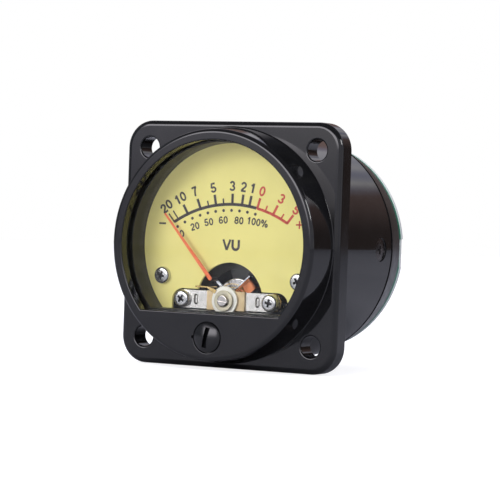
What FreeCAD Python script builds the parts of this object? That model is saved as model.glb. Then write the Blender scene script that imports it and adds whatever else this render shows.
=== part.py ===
import FreeCAD, Part
import math
import os

V = FreeCAD.Vector

# Analog VU meter for panel mounting.
# Millimetres. +Z is up and the dial looks towards -Y.
# The origin is the centre of the flange's rear face, which seats on the panel.

# Front case: square flange, round raised bezel and barrel in one moulding
barrel_r = 21.3
barrel_len = 20.4
case_wall = 1.5
bezel_step = 0.15
bezel_draft = 0.65
bezel_h = 6.6
bezel_edge_r = 0.9
bezel_land = 1.95
lip_t = 1.8
aperture_corner_r = 0.9
aperture_edge_r = 0.25
flange_margin = 1.05
flange_t = 3.75
flange_corner_r = 5.0
flange_edge_r = 0.8
bolt_edge = 5.0
bolt_hole_r = 1.95
bolt_hole_lead = 0.25

# Zero adjuster in the lower panel
adjuster_r = 2.78
adjuster_edge = 4.15
adjuster_sill = 1.57
adjuster_seat = 1.0
adjuster_dome = 0.65
adjuster_neck_r = 1.5
adjuster_disc_r = 1.9
adjuster_disc_t = 0.7
adjuster_slot_w = 0.85
adjuster_slot_len = 3.7
adjuster_slot_depth = 0.7
adjuster_slot_deg = 11.0
adjuster_throw = 0.6
adjuster_pin_r = 0.4
mark_w = 0.25
mark_depth = 0.5
mark_half = 0.35

# Outline sizes that follow from the barrel, one step out or in at a time
bezel_root_r = barrel_r + bezel_step
bezel_front_r = bezel_root_r - bezel_draft
flange_side = 2 * (bezel_root_r + flange_margin)
bolt_pitch = flange_side - 2 * bolt_edge
aperture_r = bezel_front_r - bezel_land
adjuster_drop = bezel_front_r - adjuster_edge
aperture_chord = adjuster_drop - adjuster_r - adjuster_sill
bore_r = barrel_r - case_wall

# Fits and small gaps, and a length beyond every piece for cutting tools
fit_gap = 0.1
thread_gap = 0.02
run_gap = 0.05
face_gap = 0.05
far = 60.0

# Window, light surround and dial
window_t = 1.5
window_overlap = 1.1
surround_wall = 1.15
surround_rise = 0.25
surround_sill_t = 1.1
surround_notch_w = 5.0
surround_notch_gap = 0.25
dial_setback = 7.6
dial_t = 0.5
dial_rim_gap = 0.25
dial_overlap = 0.7
dial_arch_r = 6.95
dial_slot_half = 12.2
dial_slot_top = 1.85
dial_slot_corner = 2.2
dial_screw_inset = 5.55
dial_screw_z = -6.1

# Movement: the needle turns about an axis along Y, this far below the case axis
axis_above_sill = 2.15
needle_rest_deg = -41.2
needle_reach = 20.6

# Front bridge, its insulators, the zero lever and the jewel screw
bridge_half = 10.8
bridge_w = 3.3
bridge_t = 0.8
bridge_proud = 1.0
bridge_screw_x = 9.2
bridge_slot_x = 6.45
rear_bridge_w = 3.9
bridge_slot_w = 0.85
bridge_slot_h = 1.9
insulator_w = 7.9
insulator_h = 3.5
insulator_t = 0.35
insulator_bush_r = 1.42
rear_insulator_t = 0.3
insulator_lap = 0.6
bush_r = 1.3
bush_flange_r = 2.0
bush_flange_t = 0.3
lever_ring_r = 2.65
lever_t = 0.4
lever_arm_w = 2.0
nut_r = 1.9
nut_t = 0.4
rear_nut_t = 1.0
rear_jewel_proud = 1.8
jewel_screw_r = 1.05
jewel_screw_proud = 0.5
jewel_slot_w = 0.45
jewel_slot_depth = 0.35
jewel_r = 0.6
jewel_t = 0.6
jewel_cup_r = 0.4
jewel_cup_depth = 0.45
post_r = 1.7
spring_arm_t = 0.3
spring_arm_rise = 2.2
spring_arm_in = 3.4
spring_arm_out = 6.2

# Moving system
cross_t = 0.2
cross_gap = 0.3
cross_hub_r = 0.9
cross_arm_w = 0.55
crank_r = 5.1
needle_t = 0.25
needle_root_w = 0.75
needle_tip_w = 0.4
needle_proud = 1.2
tail_len = 5.7
long_side_arm = 5.85
short_side_arm = 3.5
side_arm_w = 0.25
tail_weight_r = 0.7
tail_weight_len = 1.4
spring_gap = 0.15
spring_w = 0.25
spring_t = 0.12
spring_collet_r = 0.55
spring_turns = 5
pivot_r = 0.2
pivot_tip_gap = 0.08
pivot_point_r = 0.03
pivot_taper = 0.6
pivot_base_r = 1.1
pivot_base_t = 0.15
coil_inner_half = 4.4
coil_len = 8.0
coil_depth = 0.65
coil_w = 2.4
former_t = 0.15
former_w = 2.7
core_r = 4.1
core_gap = 0.35
yoke_gap = 0.38
yoke_wall = 1.65
yoke_inset = 0.5
web_half_deg = 20.0

# Movement frame, rear bridge and standoffs
frame_t = 1.6
frame_disc_r = 11.2
frame_bar_top = 3.4
frame_bar_h = 5.6
boss_r = 2.2
rear_post_r = 1.7
rear_jewel_gap = 0.5
rear_jewel_reach = 0.7
frame_step = 0.2
standoff_af = 4.0
board_screw_r = 0.85
frame_edge_gap = 0.4
frame_bar_inset = 2.6
standoff_thread = 2.6
standoff_rear_thread = 4.6
strap_w = 0.6
strap_foot_x0 = 1.6
strap_foot_x1 = 1.2
strap_foot_z0 = 0.4
strap_foot_z1 = 1.3

# Screws
m2_r = 1.0
m2_head_r = 1.6
m2_head_t = 0.95
m2_recess_w = 0.45
m2_recess_len = 1.9
m2_recess_depth = 0.5
side_screw_head_r = 2.2
side_screw_r = 1.25
side_screw_len = 4.3
side_screw_cone = 1.0
side_screw_back = 4.6
side_screw_sink = 0.25
dial_screw_grip = 2.0
bridge_screw_grip = 1.2
rear_screw_grip = 3.0
standoff_screw_grip = 4.0
board_screw_grip = 0.8

# Base that closes the barrel, with the circuit board on it
seam_gap = 0.25
base_rim_len = 5.65
base_draft = 1.3
base_floor_in = 2.05
base_floor_t = 1.6
spigot_len = 8.4
spigot_wall = 1.5
side_boss_t = 1.5
side_boss_w = 6.0
board_edge_gap = 0.05
board_t = 1.6
board_flat_depth = 0.35
board_flat_z0 = -3.3
board_flat_z1 = 2.0
board_screw_inset = 4.5
board_screw_deg = 30.0
board_screw_count = 3
terminal_x = 10.0
terminal_r = 1.5
terminal_head_r = 2.6
terminal_head_t = 1.0
terminal_len = 7.0
terminal_nut_af = 5.5
terminal_nut_t = 2.4
lug_t = 0.5
lug_r = 2.9
lug_tail_w = 2.0
lug_tail_len = 6.5
lamp_x = 6.0
lamp_z = 6.0
lamp_r = 1.5
lamp_collar_r = 1.9
lamp_collar_t = 1.0
lamp_len = 5.3
lamp_lead_r = 0.25
lamp_lead_pitch = 2.54
lead_hole_r = 0.35
diode_r = 0.95
diode_len = 4.0
diode_lead_r = 0.27
diode_pitch = 3.6
diode_span = 7.6
resistor_r = 1.2
resistor_len = 6.3
resistor_span = 10.2
header_pitch = 2.54
header_pin_w = 0.64
header_body_t = 2.5
header_pin_len = 6.0
header_clear = 4.2
board_parts_z = -6.0
lead_wire_r = 0.4
tag_t = 0.3
tag_r = 1.75
tag_w = 1.5
tag_len = 4.2
tag_wire_back = 0.8
wire_straight = 3.8
bend_share = 0.45

# Places across the case, worked out from the sizes above
window_chord = aperture_chord + window_overlap
surround_chord = aperture_chord - surround_rise
dial_chord = aperture_chord + dial_overlap
axis_drop = aperture_chord - axis_above_sill
dial_screw_x = bore_r - dial_screw_inset
frame_bar_half = bore_r - frame_bar_inset
base_rear_r = barrel_r - base_draft
board_r = base_rear_r - board_edge_gap
board_flat_x = board_r - board_flat_depth
board_screw_out = base_rear_r - board_screw_inset
header_z = header_clear - board_screw_out

# Stations along Y, worked out from the sizes above
bezel_front_y = -(flange_t + bezel_h)
lip_back_y = bezel_front_y + lip_t
window_back_y = lip_back_y + window_t
dial_y = bezel_front_y + dial_setback
dial_back_y = dial_y + dial_t
insert_r = bore_r - fit_gap
bridge_y = dial_y - bridge_proud
bridge_back_y = bridge_y + bridge_t
insulator_y = bridge_y - insulator_t
lever_y1 = insulator_y - face_gap
lever_y0 = lever_y1 - lever_t
nut_y1 = lever_y0 - face_gap
nut_y0 = nut_y1 - nut_t
jewel_front_y = nut_y0 - jewel_screw_proud
rear_insulator_y1 = bridge_back_y + rear_insulator_t
bush_back_y = rear_insulator_y1 + bush_flange_t
cross_y0 = bush_back_y + cross_gap
cross_y1 = cross_y0 + cross_t
spring_y0 = cross_y1 + spring_gap
spring_y1 = spring_y0 + spring_w
coil_y0 = spring_y1 + pivot_base_t + 0.05
coil_y1 = coil_y0 + coil_len + 2 * coil_depth
needle_y0 = dial_y - needle_proud - needle_t
needle_y1 = needle_y0 + needle_t
core_y0 = coil_y0 + coil_depth + former_t + core_gap
core_y1 = coil_y1 - coil_depth - former_t - core_gap
yoke_y0 = core_y0 + yoke_inset
yoke_y1 = core_y1 - yoke_inset
yoke_in_r = math.hypot(coil_inner_half + former_t + coil_depth, former_w / 2) + yoke_gap
yoke_out_r = yoke_in_r + yoke_wall
frame_y0 = yoke_y0 + frame_step
frame_y1 = frame_y0 + frame_t
rear_spring_y0 = coil_y1 + pivot_base_t + 0.05
rear_spring_y1 = rear_spring_y0 + spring_w
rear_jewel_y = rear_spring_y1 + rear_jewel_gap
rear_bridge_y = rear_jewel_y + rear_jewel_reach
rear_bridge_y1 = rear_bridge_y + bridge_t
barrel_end_y = barrel_len
side_screw_y = barrel_end_y - side_screw_back
base_y0 = barrel_end_y + seam_gap
base_y1 = base_y0 + base_rim_len
floor_y0 = base_y0 + base_floor_in
floor_y1 = floor_y0 + base_floor_t
board_y1 = base_y1 + board_t
spigot_r = bore_r - fit_gap
spigot_in_r = spigot_r - spigot_wall
pin_drop = adjuster_drop - adjuster_throw


def box(x0, x1, y0, y1, z0, z1):
    """Block between two corners."""
    return Part.makeBox(x1 - x0, y1 - y0, z1 - z0, V(x0, y0, z0))


def disc(r, y0, y1, x=0.0, z=0.0):
    """Cylinder along Y."""
    return Part.makeCylinder(r, y1 - y0, V(x, y0, z), V(0, 1, 0))


def tube(r_out, r_in, y0, y1, x=0.0, z=0.0):
    """Ring along Y."""
    return disc(r_out, y0, y1, x, z).cut(disc(r_in, y0 - 1, y1 + 1, x, z))


def prism(points, y0, y1):
    """Straight-sided block along Y from (x, z) points."""
    wire = Part.makePolygon([V(x, y0, z) for x, z in points + points[:1]])
    return Part.Face(wire).extrude(V(0, y1 - y0, 0))


def hexagon(across_flats, y0, y1, x=0.0, z=0.0):
    """Hexagonal prism along Y with flats at its sides."""
    r = across_flats / math.sqrt(3)
    corners = [math.radians(60 * i + 30) for i in range(6)]
    return prism([(x + r * math.cos(a), z + r * math.sin(a)) for a in corners], y0, y1)


def obround(length, height, y0, y1, x=0.0, z=0.0):
    """Strip with round ends, long way along X or Z."""
    r = min(length, height) / 2
    if length >= height:
        half = length / 2 - r
        ends = disc(r, y0, y1, x - half, z).fuse(disc(r, y0, y1, x + half, z))
        middle = box(x - half, x + half, y0, y1, z - r, z + r) if half > 0.001 else ends
    else:
        half = height / 2 - r
        ends = disc(r, y0, y1, x, z - half).fuse(disc(r, y0, y1, x, z + half))
        middle = box(x - r, x + r, y0, y1, z - half, z + half)
    return ends.fuse(middle).removeSplitter()


def turned(shape, degrees):
    """Turn a shape about the needle axis, clockwise as seen from the front."""
    copy = shape.copy()
    copy.rotate(V(0, 0, -axis_drop), V(0, 1, 0), degrees)
    return copy


def above(shape, z):
    """Keep what lies above a level."""
    return shape.cut(box(-far, far, -far, far, -far, z))


def edges_at(shape, test):
    """Edges whose centre of mass passes a test on position and length."""
    return [e for e in shape.Edges if test(e.CenterOfMass, e)]


def rounded(shape, r, edges):
    """Fillet the chosen edges."""
    return shape.makeFillet(r, edges) if edges else shape


def pan_screw(x, z, seat_y, shank_len, head_dir=-1, shank_r=m2_r):
    """Cross-recess pan screw along Y. head_dir -1 puts its head towards the front."""
    head = disc(m2_head_r, seat_y - m2_head_t, seat_y)
    rim = edges_at(head, lambda c, e: abs(c.y - (seat_y - m2_head_t)) < 0.01 and e.Closed)
    head = rounded(head, m2_head_t * 0.5, rim)
    screw = head.fuse(disc(shank_r, seat_y, seat_y + shank_len))
    top = seat_y - m2_head_t
    half = m2_recess_len / 2
    w = m2_recess_w / 2
    screw = screw.cut(box(-half, half, top - 1, top + m2_recess_depth, -w, w))
    screw = screw.cut(box(-w, w, top - 1, top + m2_recess_depth, -half, half))
    if head_dir > 0:
        screw.rotate(V(0, seat_y, 0), V(0, 0, 1), 180)
    screw.translate(V(x, 0, z))
    return screw


def board_screw_places():
    """Centres (x, z) of the screws that hold the circuit board."""
    r = board_screw_out
    angles = [math.radians(board_screw_deg + i * 360 / board_screw_count) for i in range(board_screw_count)]
    return [(r * math.cos(a), r * math.sin(a)) for a in angles]


def save(name, shape):
    """Write one named piece, or one group of like pieces."""
    shape.exportStep("parts/" + name + ".step")


def group(shapes):
    """Several separate solids in one file."""
    return Part.makeCompound(shapes)


def make_case():
    """Flange, bezel and barrel, moulded as one piece."""
    half = flange_side / 2
    flange = box(-half, half, -flange_t, 0, -half, half)
    corner_edges = edges_at(flange, lambda c, e: abs(c.x) > half - 0.01 and abs(c.z) > half - 0.01)
    flange = rounded(flange, flange_corner_r, corner_edges)
    front = edges_at(flange, lambda c, e: c.y < -flange_t + 0.001)
    flange = rounded(flange, min(flange_edge_r, flange_t * 0.4), front)
    bezel = Part.makeCone(bezel_front_r, bezel_root_r, bezel_h, V(0, bezel_front_y, 0), V(0, 1, 0))
    rim = edges_at(bezel, lambda c, e: abs(c.y - bezel_front_y) < 0.01 and e.Closed)
    bezel = rounded(bezel, min(bezel_edge_r, lip_t * 0.6), rim)
    case = flange.fuse(bezel).fuse(disc(barrel_r, 0, barrel_end_y))
    case = case.cut(disc(bore_r, lip_back_y, barrel_end_y + 1))
    opening = above(disc(aperture_r, bezel_front_y - 1, lip_back_y + 1), -aperture_chord)
    chord_ends = edges_at(opening, lambda c, e: abs(c.z + aperture_chord) < 0.01 and abs(c.x) > 5)
    opening = rounded(opening, aperture_corner_r, chord_ends)
    case = case.cut(opening)
    lip = edges_at(case, lambda c, e: abs(c.y - bezel_front_y) < 0.01
                   and abs(e.BoundBox.YLength) < 0.01
                   and e.BoundBox.XMax < aperture_r + 0.01 and e.BoundBox.XMin > -aperture_r - 0.01)
    case = rounded(case, aperture_edge_r, lip)
    p = bolt_pitch / 2
    for x in (-p, p):
        for z in (-p, p):
            case = case.cut(disc(bolt_hole_r, -flange_t - 1, 1, x, z))
            lead = Part.makeCone(bolt_hole_r + bolt_hole_lead, bolt_hole_r, bolt_hole_lead,
                                 V(x, -flange_t, z), V(0, 1, 0))
            case = case.cut(lead)
    seat_y = bezel_front_y + adjuster_seat
    case = case.cut(disc(adjuster_r + run_gap, bezel_front_y - 1, seat_y, 0, -adjuster_drop))
    case = case.cut(disc(adjuster_neck_r + run_gap, seat_y - 0.1, lip_back_y + 1, 0, -adjuster_drop))
    mark_x = -(adjuster_r + run_gap)
    case = case.cut(box(mark_x - mark_w, mark_x + mark_w, bezel_front_y - 1, bezel_front_y + mark_depth,
                        -adjuster_drop - mark_half, -adjuster_drop + mark_half))
    for side in (-1, 1):
        case = case.cut(side_screw_shape(side, thread_gap, 1.0))
    return case


def side_screw_shape(side, grow, beyond):
    """Countersunk screw body that runs inwards along X from the barrel wall."""
    start = V(side * (barrel_r - side_screw_sink), side_screw_y, 0)
    inward = V(-side, 0, 0)
    cone = Part.makeCone(side_screw_head_r + grow, side_screw_r + grow, side_screw_cone, start, inward)
    shank = Part.makeCylinder(side_screw_r + grow, side_screw_len + grow, start, inward)
    screw = cone.fuse(shank)
    if beyond:
        screw = screw.fuse(Part.makeCylinder(side_screw_head_r + grow, beyond, start, V(side, 0, 0)))
    return screw


def make_side_screws():
    """Two screws that hold the barrel on the base's spigot."""
    screws = []
    for side in (-1, 1):
        screw = side_screw_shape(side, 0, 0)
        top = side * (barrel_r - side_screw_sink)
        half = m2_recess_len / 2
        w = m2_recess_w / 2
        reach = (top - side * m2_recess_depth, top + side * 1.0)
        x0, x1 = min(reach), max(reach)
        screw = screw.cut(box(x0, x1, side_screw_y - half, side_screw_y + half, -w, w))
        screw = screw.cut(box(x0, x1, side_screw_y - w, side_screw_y + w, -half, half))
        screws.append(screw)
    return group(screws)


def make_window():
    """Clear window, seated behind the aperture's lip."""
    return above(disc(insert_r, lip_back_y, window_back_y), -window_chord)


def make_surround():
    """Ring with a sill between the window and the dial."""
    sill_bottom = surround_chord + surround_sill_t
    ring = above(disc(insert_r, window_back_y, dial_y), -sill_bottom)
    inner = above(disc(insert_r - surround_wall, window_back_y - 1, dial_y + 1), -surround_chord)
    ring = ring.cut(inner)
    half = surround_notch_w / 2
    notch_y = jewel_front_y - surround_notch_gap
    return ring.cut(box(-half, half, notch_y, dial_y + 1, -sill_bottom - 1, -surround_chord + 0.5))


def make_dial():
    """Dial plate with an arch and slot for the movement and two screw holes."""
    plate = above(disc(bore_r - dial_rim_gap, dial_y, dial_back_y), -dial_chord)
    arch = disc(dial_arch_r, dial_y - 1, dial_back_y + 1, 0, -axis_drop)
    arch = above(arch, -axis_drop)
    top = -axis_drop + dial_slot_top
    slot = box(-dial_slot_half, dial_slot_half, dial_y - 1, dial_back_y + 1, -dial_chord - 1, top)
    corners = edges_at(slot, lambda c, e: abs(c.z - top) < 0.01 and abs(abs(c.x) - dial_slot_half) < 0.01)
    slot = rounded(slot, dial_slot_corner, corners)
    plate = plate.cut(arch.fuse(slot))
    for side in (-1, 1):
        x = side * dial_screw_x
        plate = plate.cut(disc(m2_r + run_gap, dial_y - 1, dial_back_y + 1, x, dial_screw_z))
    return plate


def make_dial_screws():
    """Two screws that clamp the dial and the frame to the standoffs."""
    length = frame_y1 - dial_y + dial_screw_grip
    return group([pan_screw(s * dial_screw_x, dial_screw_z, dial_y, length) for s in (-1, 1)])


def make_adjuster():
    """Slotted zero adjuster: head, neck, retaining disc and an off-centre pin."""
    z = -adjuster_drop
    seat_y = bezel_front_y + adjuster_seat
    head = disc(adjuster_r, bezel_front_y, seat_y - face_gap, 0, z)
    ball_r = (adjuster_r ** 2 + adjuster_dome ** 2) / (2 * adjuster_dome)
    ball = Part.makeSphere(ball_r, V(0, bezel_front_y - adjuster_dome + ball_r, z))
    cap = ball.common(disc(adjuster_r, bezel_front_y - adjuster_dome - 1, bezel_front_y, 0, z))
    half = adjuster_slot_len / 2
    w = adjuster_slot_w / 2
    front = bezel_front_y - adjuster_dome - 1
    slot = box(-w, w, front, bezel_front_y - adjuster_dome + adjuster_slot_depth, z - half, z + half)
    slot.rotate(V(0, 0, z), V(0, 1, 0), adjuster_slot_deg)
    disc_y0 = lip_back_y + face_gap
    disc_y1 = disc_y0 + adjuster_disc_t
    body = head.fuse(cap).cut(slot)
    body = body.fuse(disc(adjuster_neck_r, seat_y - face_gap, disc_y0, 0, z))
    body = body.fuse(disc(adjuster_disc_r, disc_y0, disc_y1, 0, z))
    body = body.fuse(disc(adjuster_pin_r, disc_y1, lever_y1 + 0.1, 0, z + adjuster_throw))
    return body


def make_bridge(y0):
    """Metal bridge strip with round ends, screw holes and two small slots."""
    y1 = y0 + bridge_t
    strip = obround(2 * bridge_half, bridge_w, y0, y1, 0, -axis_drop)
    strip = strip.cut(disc(insulator_bush_r + thread_gap, y0 - 1, y1 + 1, 0, -axis_drop))
    for side in (-1, 1):
        strip = strip.cut(disc(m2_r + run_gap, y0 - 1, y1 + 1, side * bridge_screw_x, -axis_drop))
        strip = strip.cut(obround(bridge_slot_w, bridge_slot_h, y0 - 1, y1 + 1,
                                  side * bridge_slot_x, -axis_drop))
    return strip


def make_front_insulator():
    """Phenolic sheet on the bridge, with a bush through the bridge's hole."""
    half = insulator_w / 2
    tall = insulator_h / 2
    sheet = box(-half, half, insulator_y, bridge_y, -axis_drop - tall, -axis_drop + tall)
    bush = disc(insulator_bush_r, bridge_y, bridge_back_y, 0, -axis_drop)
    return sheet.fuse(bush).cut(disc(bush_r + thread_gap, insulator_y - 1, bridge_back_y + 1, 0, -axis_drop))


def make_rear_insulator():
    """Phenolic washer behind the bridge."""
    r = bridge_w / 2
    return tube(r + insulator_lap, bush_r + thread_gap, bridge_back_y, rear_insulator_y1, 0, -axis_drop)


def make_bush():
    """Threaded brass bush that carries the jewel screw and the zero lever."""
    bush = disc(bush_r, nut_y0, rear_insulator_y1, 0, -axis_drop)
    bush = bush.fuse(disc(bush_flange_r, rear_insulator_y1, bush_back_y, 0, -axis_drop))
    return bush.cut(disc(jewel_screw_r + thread_gap, nut_y0 - 1, bush_back_y + 1, 0, -axis_drop))


def make_nut():
    """Round brass lock nut in front of the zero lever."""
    nut = tube(nut_r, bush_r + thread_gap, nut_y0, nut_y1, 0, -axis_drop)
    outer = edges_at(nut, lambda c, e: abs(c.y - nut_y0) < 0.01 and e.BoundBox.XLength > 2 * nut_r - 0.1)
    return rounded(nut, nut_t * 0.3, outer)


def make_lever():
    """Zero lever: a ring on the bush and a forked arm down to the adjuster's pin."""
    z = -axis_drop
    tip = -(adjuster_drop + adjuster_throw + adjuster_pin_r)
    ring = disc(lever_ring_r, lever_y0, lever_y1, 0, z)
    half = lever_arm_w / 2
    arm = box(-half, half, lever_y0, lever_y1, tip, z)
    lever = ring.fuse(arm).cut(disc(bush_r + run_gap, lever_y0 - 1, lever_y1 + 1, 0, z))
    slot_half = adjuster_pin_r + run_gap
    slot_top = -pin_drop + 3 * adjuster_pin_r
    lever = lever.cut(box(-slot_half, slot_half, lever_y0 - 1, lever_y1 + 1, tip - 1, slot_top))
    return lever


def make_spring_arm():
    """Brass strip from the lever over the bridge's edge to the front hairspring."""
    base = -axis_drop + spring_arm_rise
    top = base + spring_arm_t
    shelf = box(-spring_arm_out, -spring_arm_in, lever_y0, spring_y1, base, top)
    inner = -spring_arm_in
    foot_x = -lever_ring_r * 0.75
    foot = prism([(inner - spring_arm_t, top), (inner - spring_arm_t, base), (foot_x, -axis_drop + 1.2),
                  (foot_x + 0.4, -axis_drop + 1.9), (inner, top)], lever_y0 - 0.2, lever_y0)
    link = box(inner - spring_arm_t, inner, lever_y0 - 0.2, lever_y0, base, top)
    return shelf.fuse(link).fuse(foot).removeSplitter()


def make_jewel_screw(front_y, back_y, slot_at_front):
    """Slotted jewel screw with a pocket for the jewel at its inner end."""
    screw = disc(jewel_screw_r, front_y, back_y, 0, -axis_drop)
    rim_y = front_y if slot_at_front else back_y
    rim = edges_at(screw, lambda c, e: abs(c.y - rim_y) < 0.01 and e.Closed)
    screw = rounded(screw, jewel_screw_r * 0.15, rim)
    w = jewel_slot_w / 2
    if slot_at_front:
        slot = box(-3, 3, front_y - 1, front_y + jewel_slot_depth, -axis_drop - w, -axis_drop + w)
        pocket = disc(jewel_r + thread_gap, back_y - jewel_t, back_y + 1, 0, -axis_drop)
    else:
        slot = box(-3, 3, back_y - jewel_slot_depth, back_y + 1, -axis_drop - w, -axis_drop + w)
        pocket = disc(jewel_r + thread_gap, front_y - 1, front_y + jewel_t, 0, -axis_drop)
    return screw.cut(slot).cut(pocket)


def make_jewel(mouth_y, inward):
    """Jewel with a conical cup. inward is 1 when the cup opens towards the rear."""
    y0 = mouth_y - jewel_t if inward > 0 else mouth_y
    body = disc(jewel_r, y0, y0 + jewel_t, 0, -axis_drop)
    cup = Part.makeCone(jewel_cup_r, 0.02, jewel_cup_depth, V(0, mouth_y, -axis_drop), V(0, -inward, 0))
    return body.cut(cup)


def make_pivot(mouth_y, base_y, inward):
    """Steel pivot on a round base that is cemented to the coil."""
    start = mouth_y - inward * (jewel_cup_depth - pivot_tip_gap * 2)
    tip = Part.makeCone(pivot_point_r, pivot_r, pivot_taper, V(0, start, -axis_drop), V(0, inward, 0))
    shaft_y0 = start + inward * pivot_taper
    low, high = min(shaft_y0, base_y), max(shaft_y0, base_y)
    shaft = disc(pivot_r, low, high, 0, -axis_drop)
    base_far = base_y - inward * pivot_base_t
    base = disc(pivot_base_r, min(base_y, base_far), max(base_y, base_far), 0, -axis_drop)
    return tip.fuse(shaft).fuse(base)


def make_cross():
    """Pointer carrier: hub, cranked front arm, tail and two side arms."""
    z = -axis_drop
    hub = disc(cross_hub_r, cross_y0, cross_y1, 0, z)
    w = cross_arm_w / 2
    arm = box(-w, w, cross_y0, cross_y1, z, z + crank_r)
    riser = box(-w, w, needle_y1, cross_y1, z + crank_r - cross_t, z + crank_r)
    tongue = box(-w, w, needle_y1, needle_y1 + cross_t, z + crank_r - cross_t, z + crank_r + 1.2)
    tail = box(-w, w, cross_y0, cross_y1, z - tail_len, z)
    cross = hub.fuse(arm).fuse(riser).fuse(tongue).fuse(tail)
    arm_z = z + coil_w / 2
    cross = cross.fuse(box(-short_side_arm, long_side_arm, cross_y0, cross_y1, arm_z - side_arm_w, arm_z))
    hub_web = box(-cross_hub_r, cross_hub_r, cross_y0, cross_y1, z, z + coil_w / 2)
    cross = cross.fuse(hub_web).cut(disc(pivot_r + thread_gap, cross_y0 - 1, cross_y1 + 1, 0, z))
    return turned(cross.removeSplitter(), needle_rest_deg)


def make_needle():
    """Flat tapered needle, cemented on the carrier's tongue."""
    z = -axis_drop
    start = z + crank_r - cross_t
    root = needle_root_w / 2
    tip = needle_tip_w / 2
    end = z + needle_reach
    blade = prism([(-root, start), (root, start), (tip, end), (-tip, end)], needle_y0, needle_y1)
    return turned(blade, needle_rest_deg)


def make_tail_weight():
    """Balance weight on the carrier's tail."""
    z = -axis_drop
    mid = (cross_y0 + cross_y1) / 2
    w = cross_arm_w / 2 + thread_gap
    t = cross_t / 2 + thread_gap
    weight = Part.makeCylinder(tail_weight_r, tail_weight_len, V(0, mid, z - tail_len), V(0, 0, 1))
    weight = weight.cut(box(-w, w, mid - t, mid + t, z - tail_len - 1, z))
    return turned(weight, needle_rest_deg)


def coil_frame(inner_half, thickness, width, y0, y1):
    """Rectangular loop in the plane of the axis, round the core."""
    outer = inner_half + thickness
    z = -axis_drop
    block = box(-outer, outer, y0, y1, z - width / 2, z + width / 2)
    hollow = box(-inner_half, inner_half, y0 + thickness, y1 - thickness,
                 z - width, z + width)
    loop = block.cut(hollow)
    ends = edges_at(loop, lambda c, e: abs(abs(c.x) - outer) < 0.01 and e.BoundBox.ZLength > width * 0.9)
    return rounded(loop, thickness * 0.8, ends)


def make_former():
    """Aluminium former that damps the swing."""
    shell = coil_frame(coil_inner_half, former_t, former_w, coil_y0 + coil_depth, coil_y1 - coil_depth)
    return turned(shell, needle_rest_deg)


def make_winding():
    """Copper winding on the former."""
    inner = coil_inner_half + former_t + 0.005
    loop = coil_frame(inner, coil_depth, coil_w, coil_y0, coil_y1)
    return turned(loop, needle_rest_deg)


def make_hairspring(y0):
    """Flat spiral from its collet out to the spring arm, made of half turns."""
    z = -axis_drop
    y1 = y0 + spring_w
    anchor_x = spring_arm_in + spring_arm_t / 2
    anchor_z = spring_arm_rise - spring_t - thread_gap
    end_r = math.hypot(anchor_x, anchor_z)
    halves = 2 * spring_turns
    grow = (end_r - spring_collet_r) / (halves + 1)
    spring = tube(spring_collet_r, pivot_r + thread_gap, y0, y1, 0, z)
    for i in range(halves):
        r = spring_collet_r - spring_t / 2 + i * grow
        centre = -grow * (i % 2)
        ring = tube(r + spring_t / 2, r - spring_t / 2, y0, y1, centre, z)
        low, high = (z - far, z) if i % 2 else (z, z + far)
        keep = box(-far, far, y0 - 1, y1 + 1, low, high)
        spring = spring.fuse(ring.common(keep))
    spring = spring.removeSplitter()
    spring.rotate(V(0, 0, z), V(0, 1, 0), math.degrees(math.atan2(anchor_z, anchor_x)))
    return spring


def make_core():
    """Round magnet core inside the coil."""
    core = disc(core_r, core_y0, core_y1, 0, -axis_drop)
    rims = edges_at(core, lambda c, e: e.Closed)
    return rounded(core, 0.25, rims)


def make_yoke():
    """Iron return ring round the coil."""
    return tube(yoke_out_r, yoke_in_r, yoke_y0, yoke_y1, 0, -axis_drop)


def make_webs():
    """Two cast webs that hold the core in the ring, above and below the coil's sweep."""
    webs = []
    for up in (0, 180):
        web = tube(yoke_in_r, core_r, yoke_y0 + 0.5, yoke_y1 - 0.5, 0, -axis_drop)
        reach = yoke_in_r + 2
        x = reach * math.tan(math.radians(web_half_deg))
        sector = prism([(0, -axis_drop), (-x, -axis_drop + reach), (x, -axis_drop + reach)], -far, far)
        webs.append(turned(web.common(sector), up))
    return group(webs)


def make_frame():
    """Moulded movement frame with bosses for the dial."""
    bar = box(-frame_bar_half, frame_bar_half, frame_y0, frame_y1, -frame_bar_top - frame_bar_h,
              -frame_bar_top)
    plate = bar.fuse(disc(frame_disc_r, frame_y0, frame_y1, 0, -axis_drop))
    plate = plate.common(disc(bore_r - frame_edge_gap, frame_y0 - 1, frame_y1 + 1))
    plate = plate.cut(disc(yoke_out_r + thread_gap, frame_y0 - 1, frame_y1 + 1, 0, -axis_drop))
    for side in (-1, 1):
        plate = plate.fuse(disc(boss_r, dial_back_y, frame_y0, side * dial_screw_x, dial_screw_z))
    for side in (-1, 1):
        plate = plate.cut(disc(m2_r + thread_gap, dial_back_y - 1, frame_y1 + 1,
                               side * dial_screw_x, dial_screw_z))
        plate = plate.cut(disc(m2_r + thread_gap, frame_y0 - 1, frame_y1 + 1,
                               side * bridge_screw_x, -axis_drop))
    return plate.removeSplitter()


def make_posts(r, y0, y1, bore):
    """Pair of round posts under a bridge."""
    return group([tube(r, bore, y0, y1, side * bridge_screw_x, -axis_drop) for side in (-1, 1)])


def make_standoffs():
    """Two hexagonal pillars from the frame to the base floor."""
    pillars = []
    for side in (-1, 1):
        x = side * dial_screw_x
        pillar = hexagon(standoff_af, frame_y1, floor_y0, x, dial_screw_z)
        front_hole = disc(m2_r + thread_gap, frame_y1 - 1, frame_y1 + standoff_thread, x, dial_screw_z)
        rear_hole = disc(m2_r + thread_gap, floor_y0 - standoff_rear_thread, floor_y0 + 1, x, dial_screw_z)
        pillars.append(pillar.cut(front_hole).cut(rear_hole))
    return group(pillars)


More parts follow.
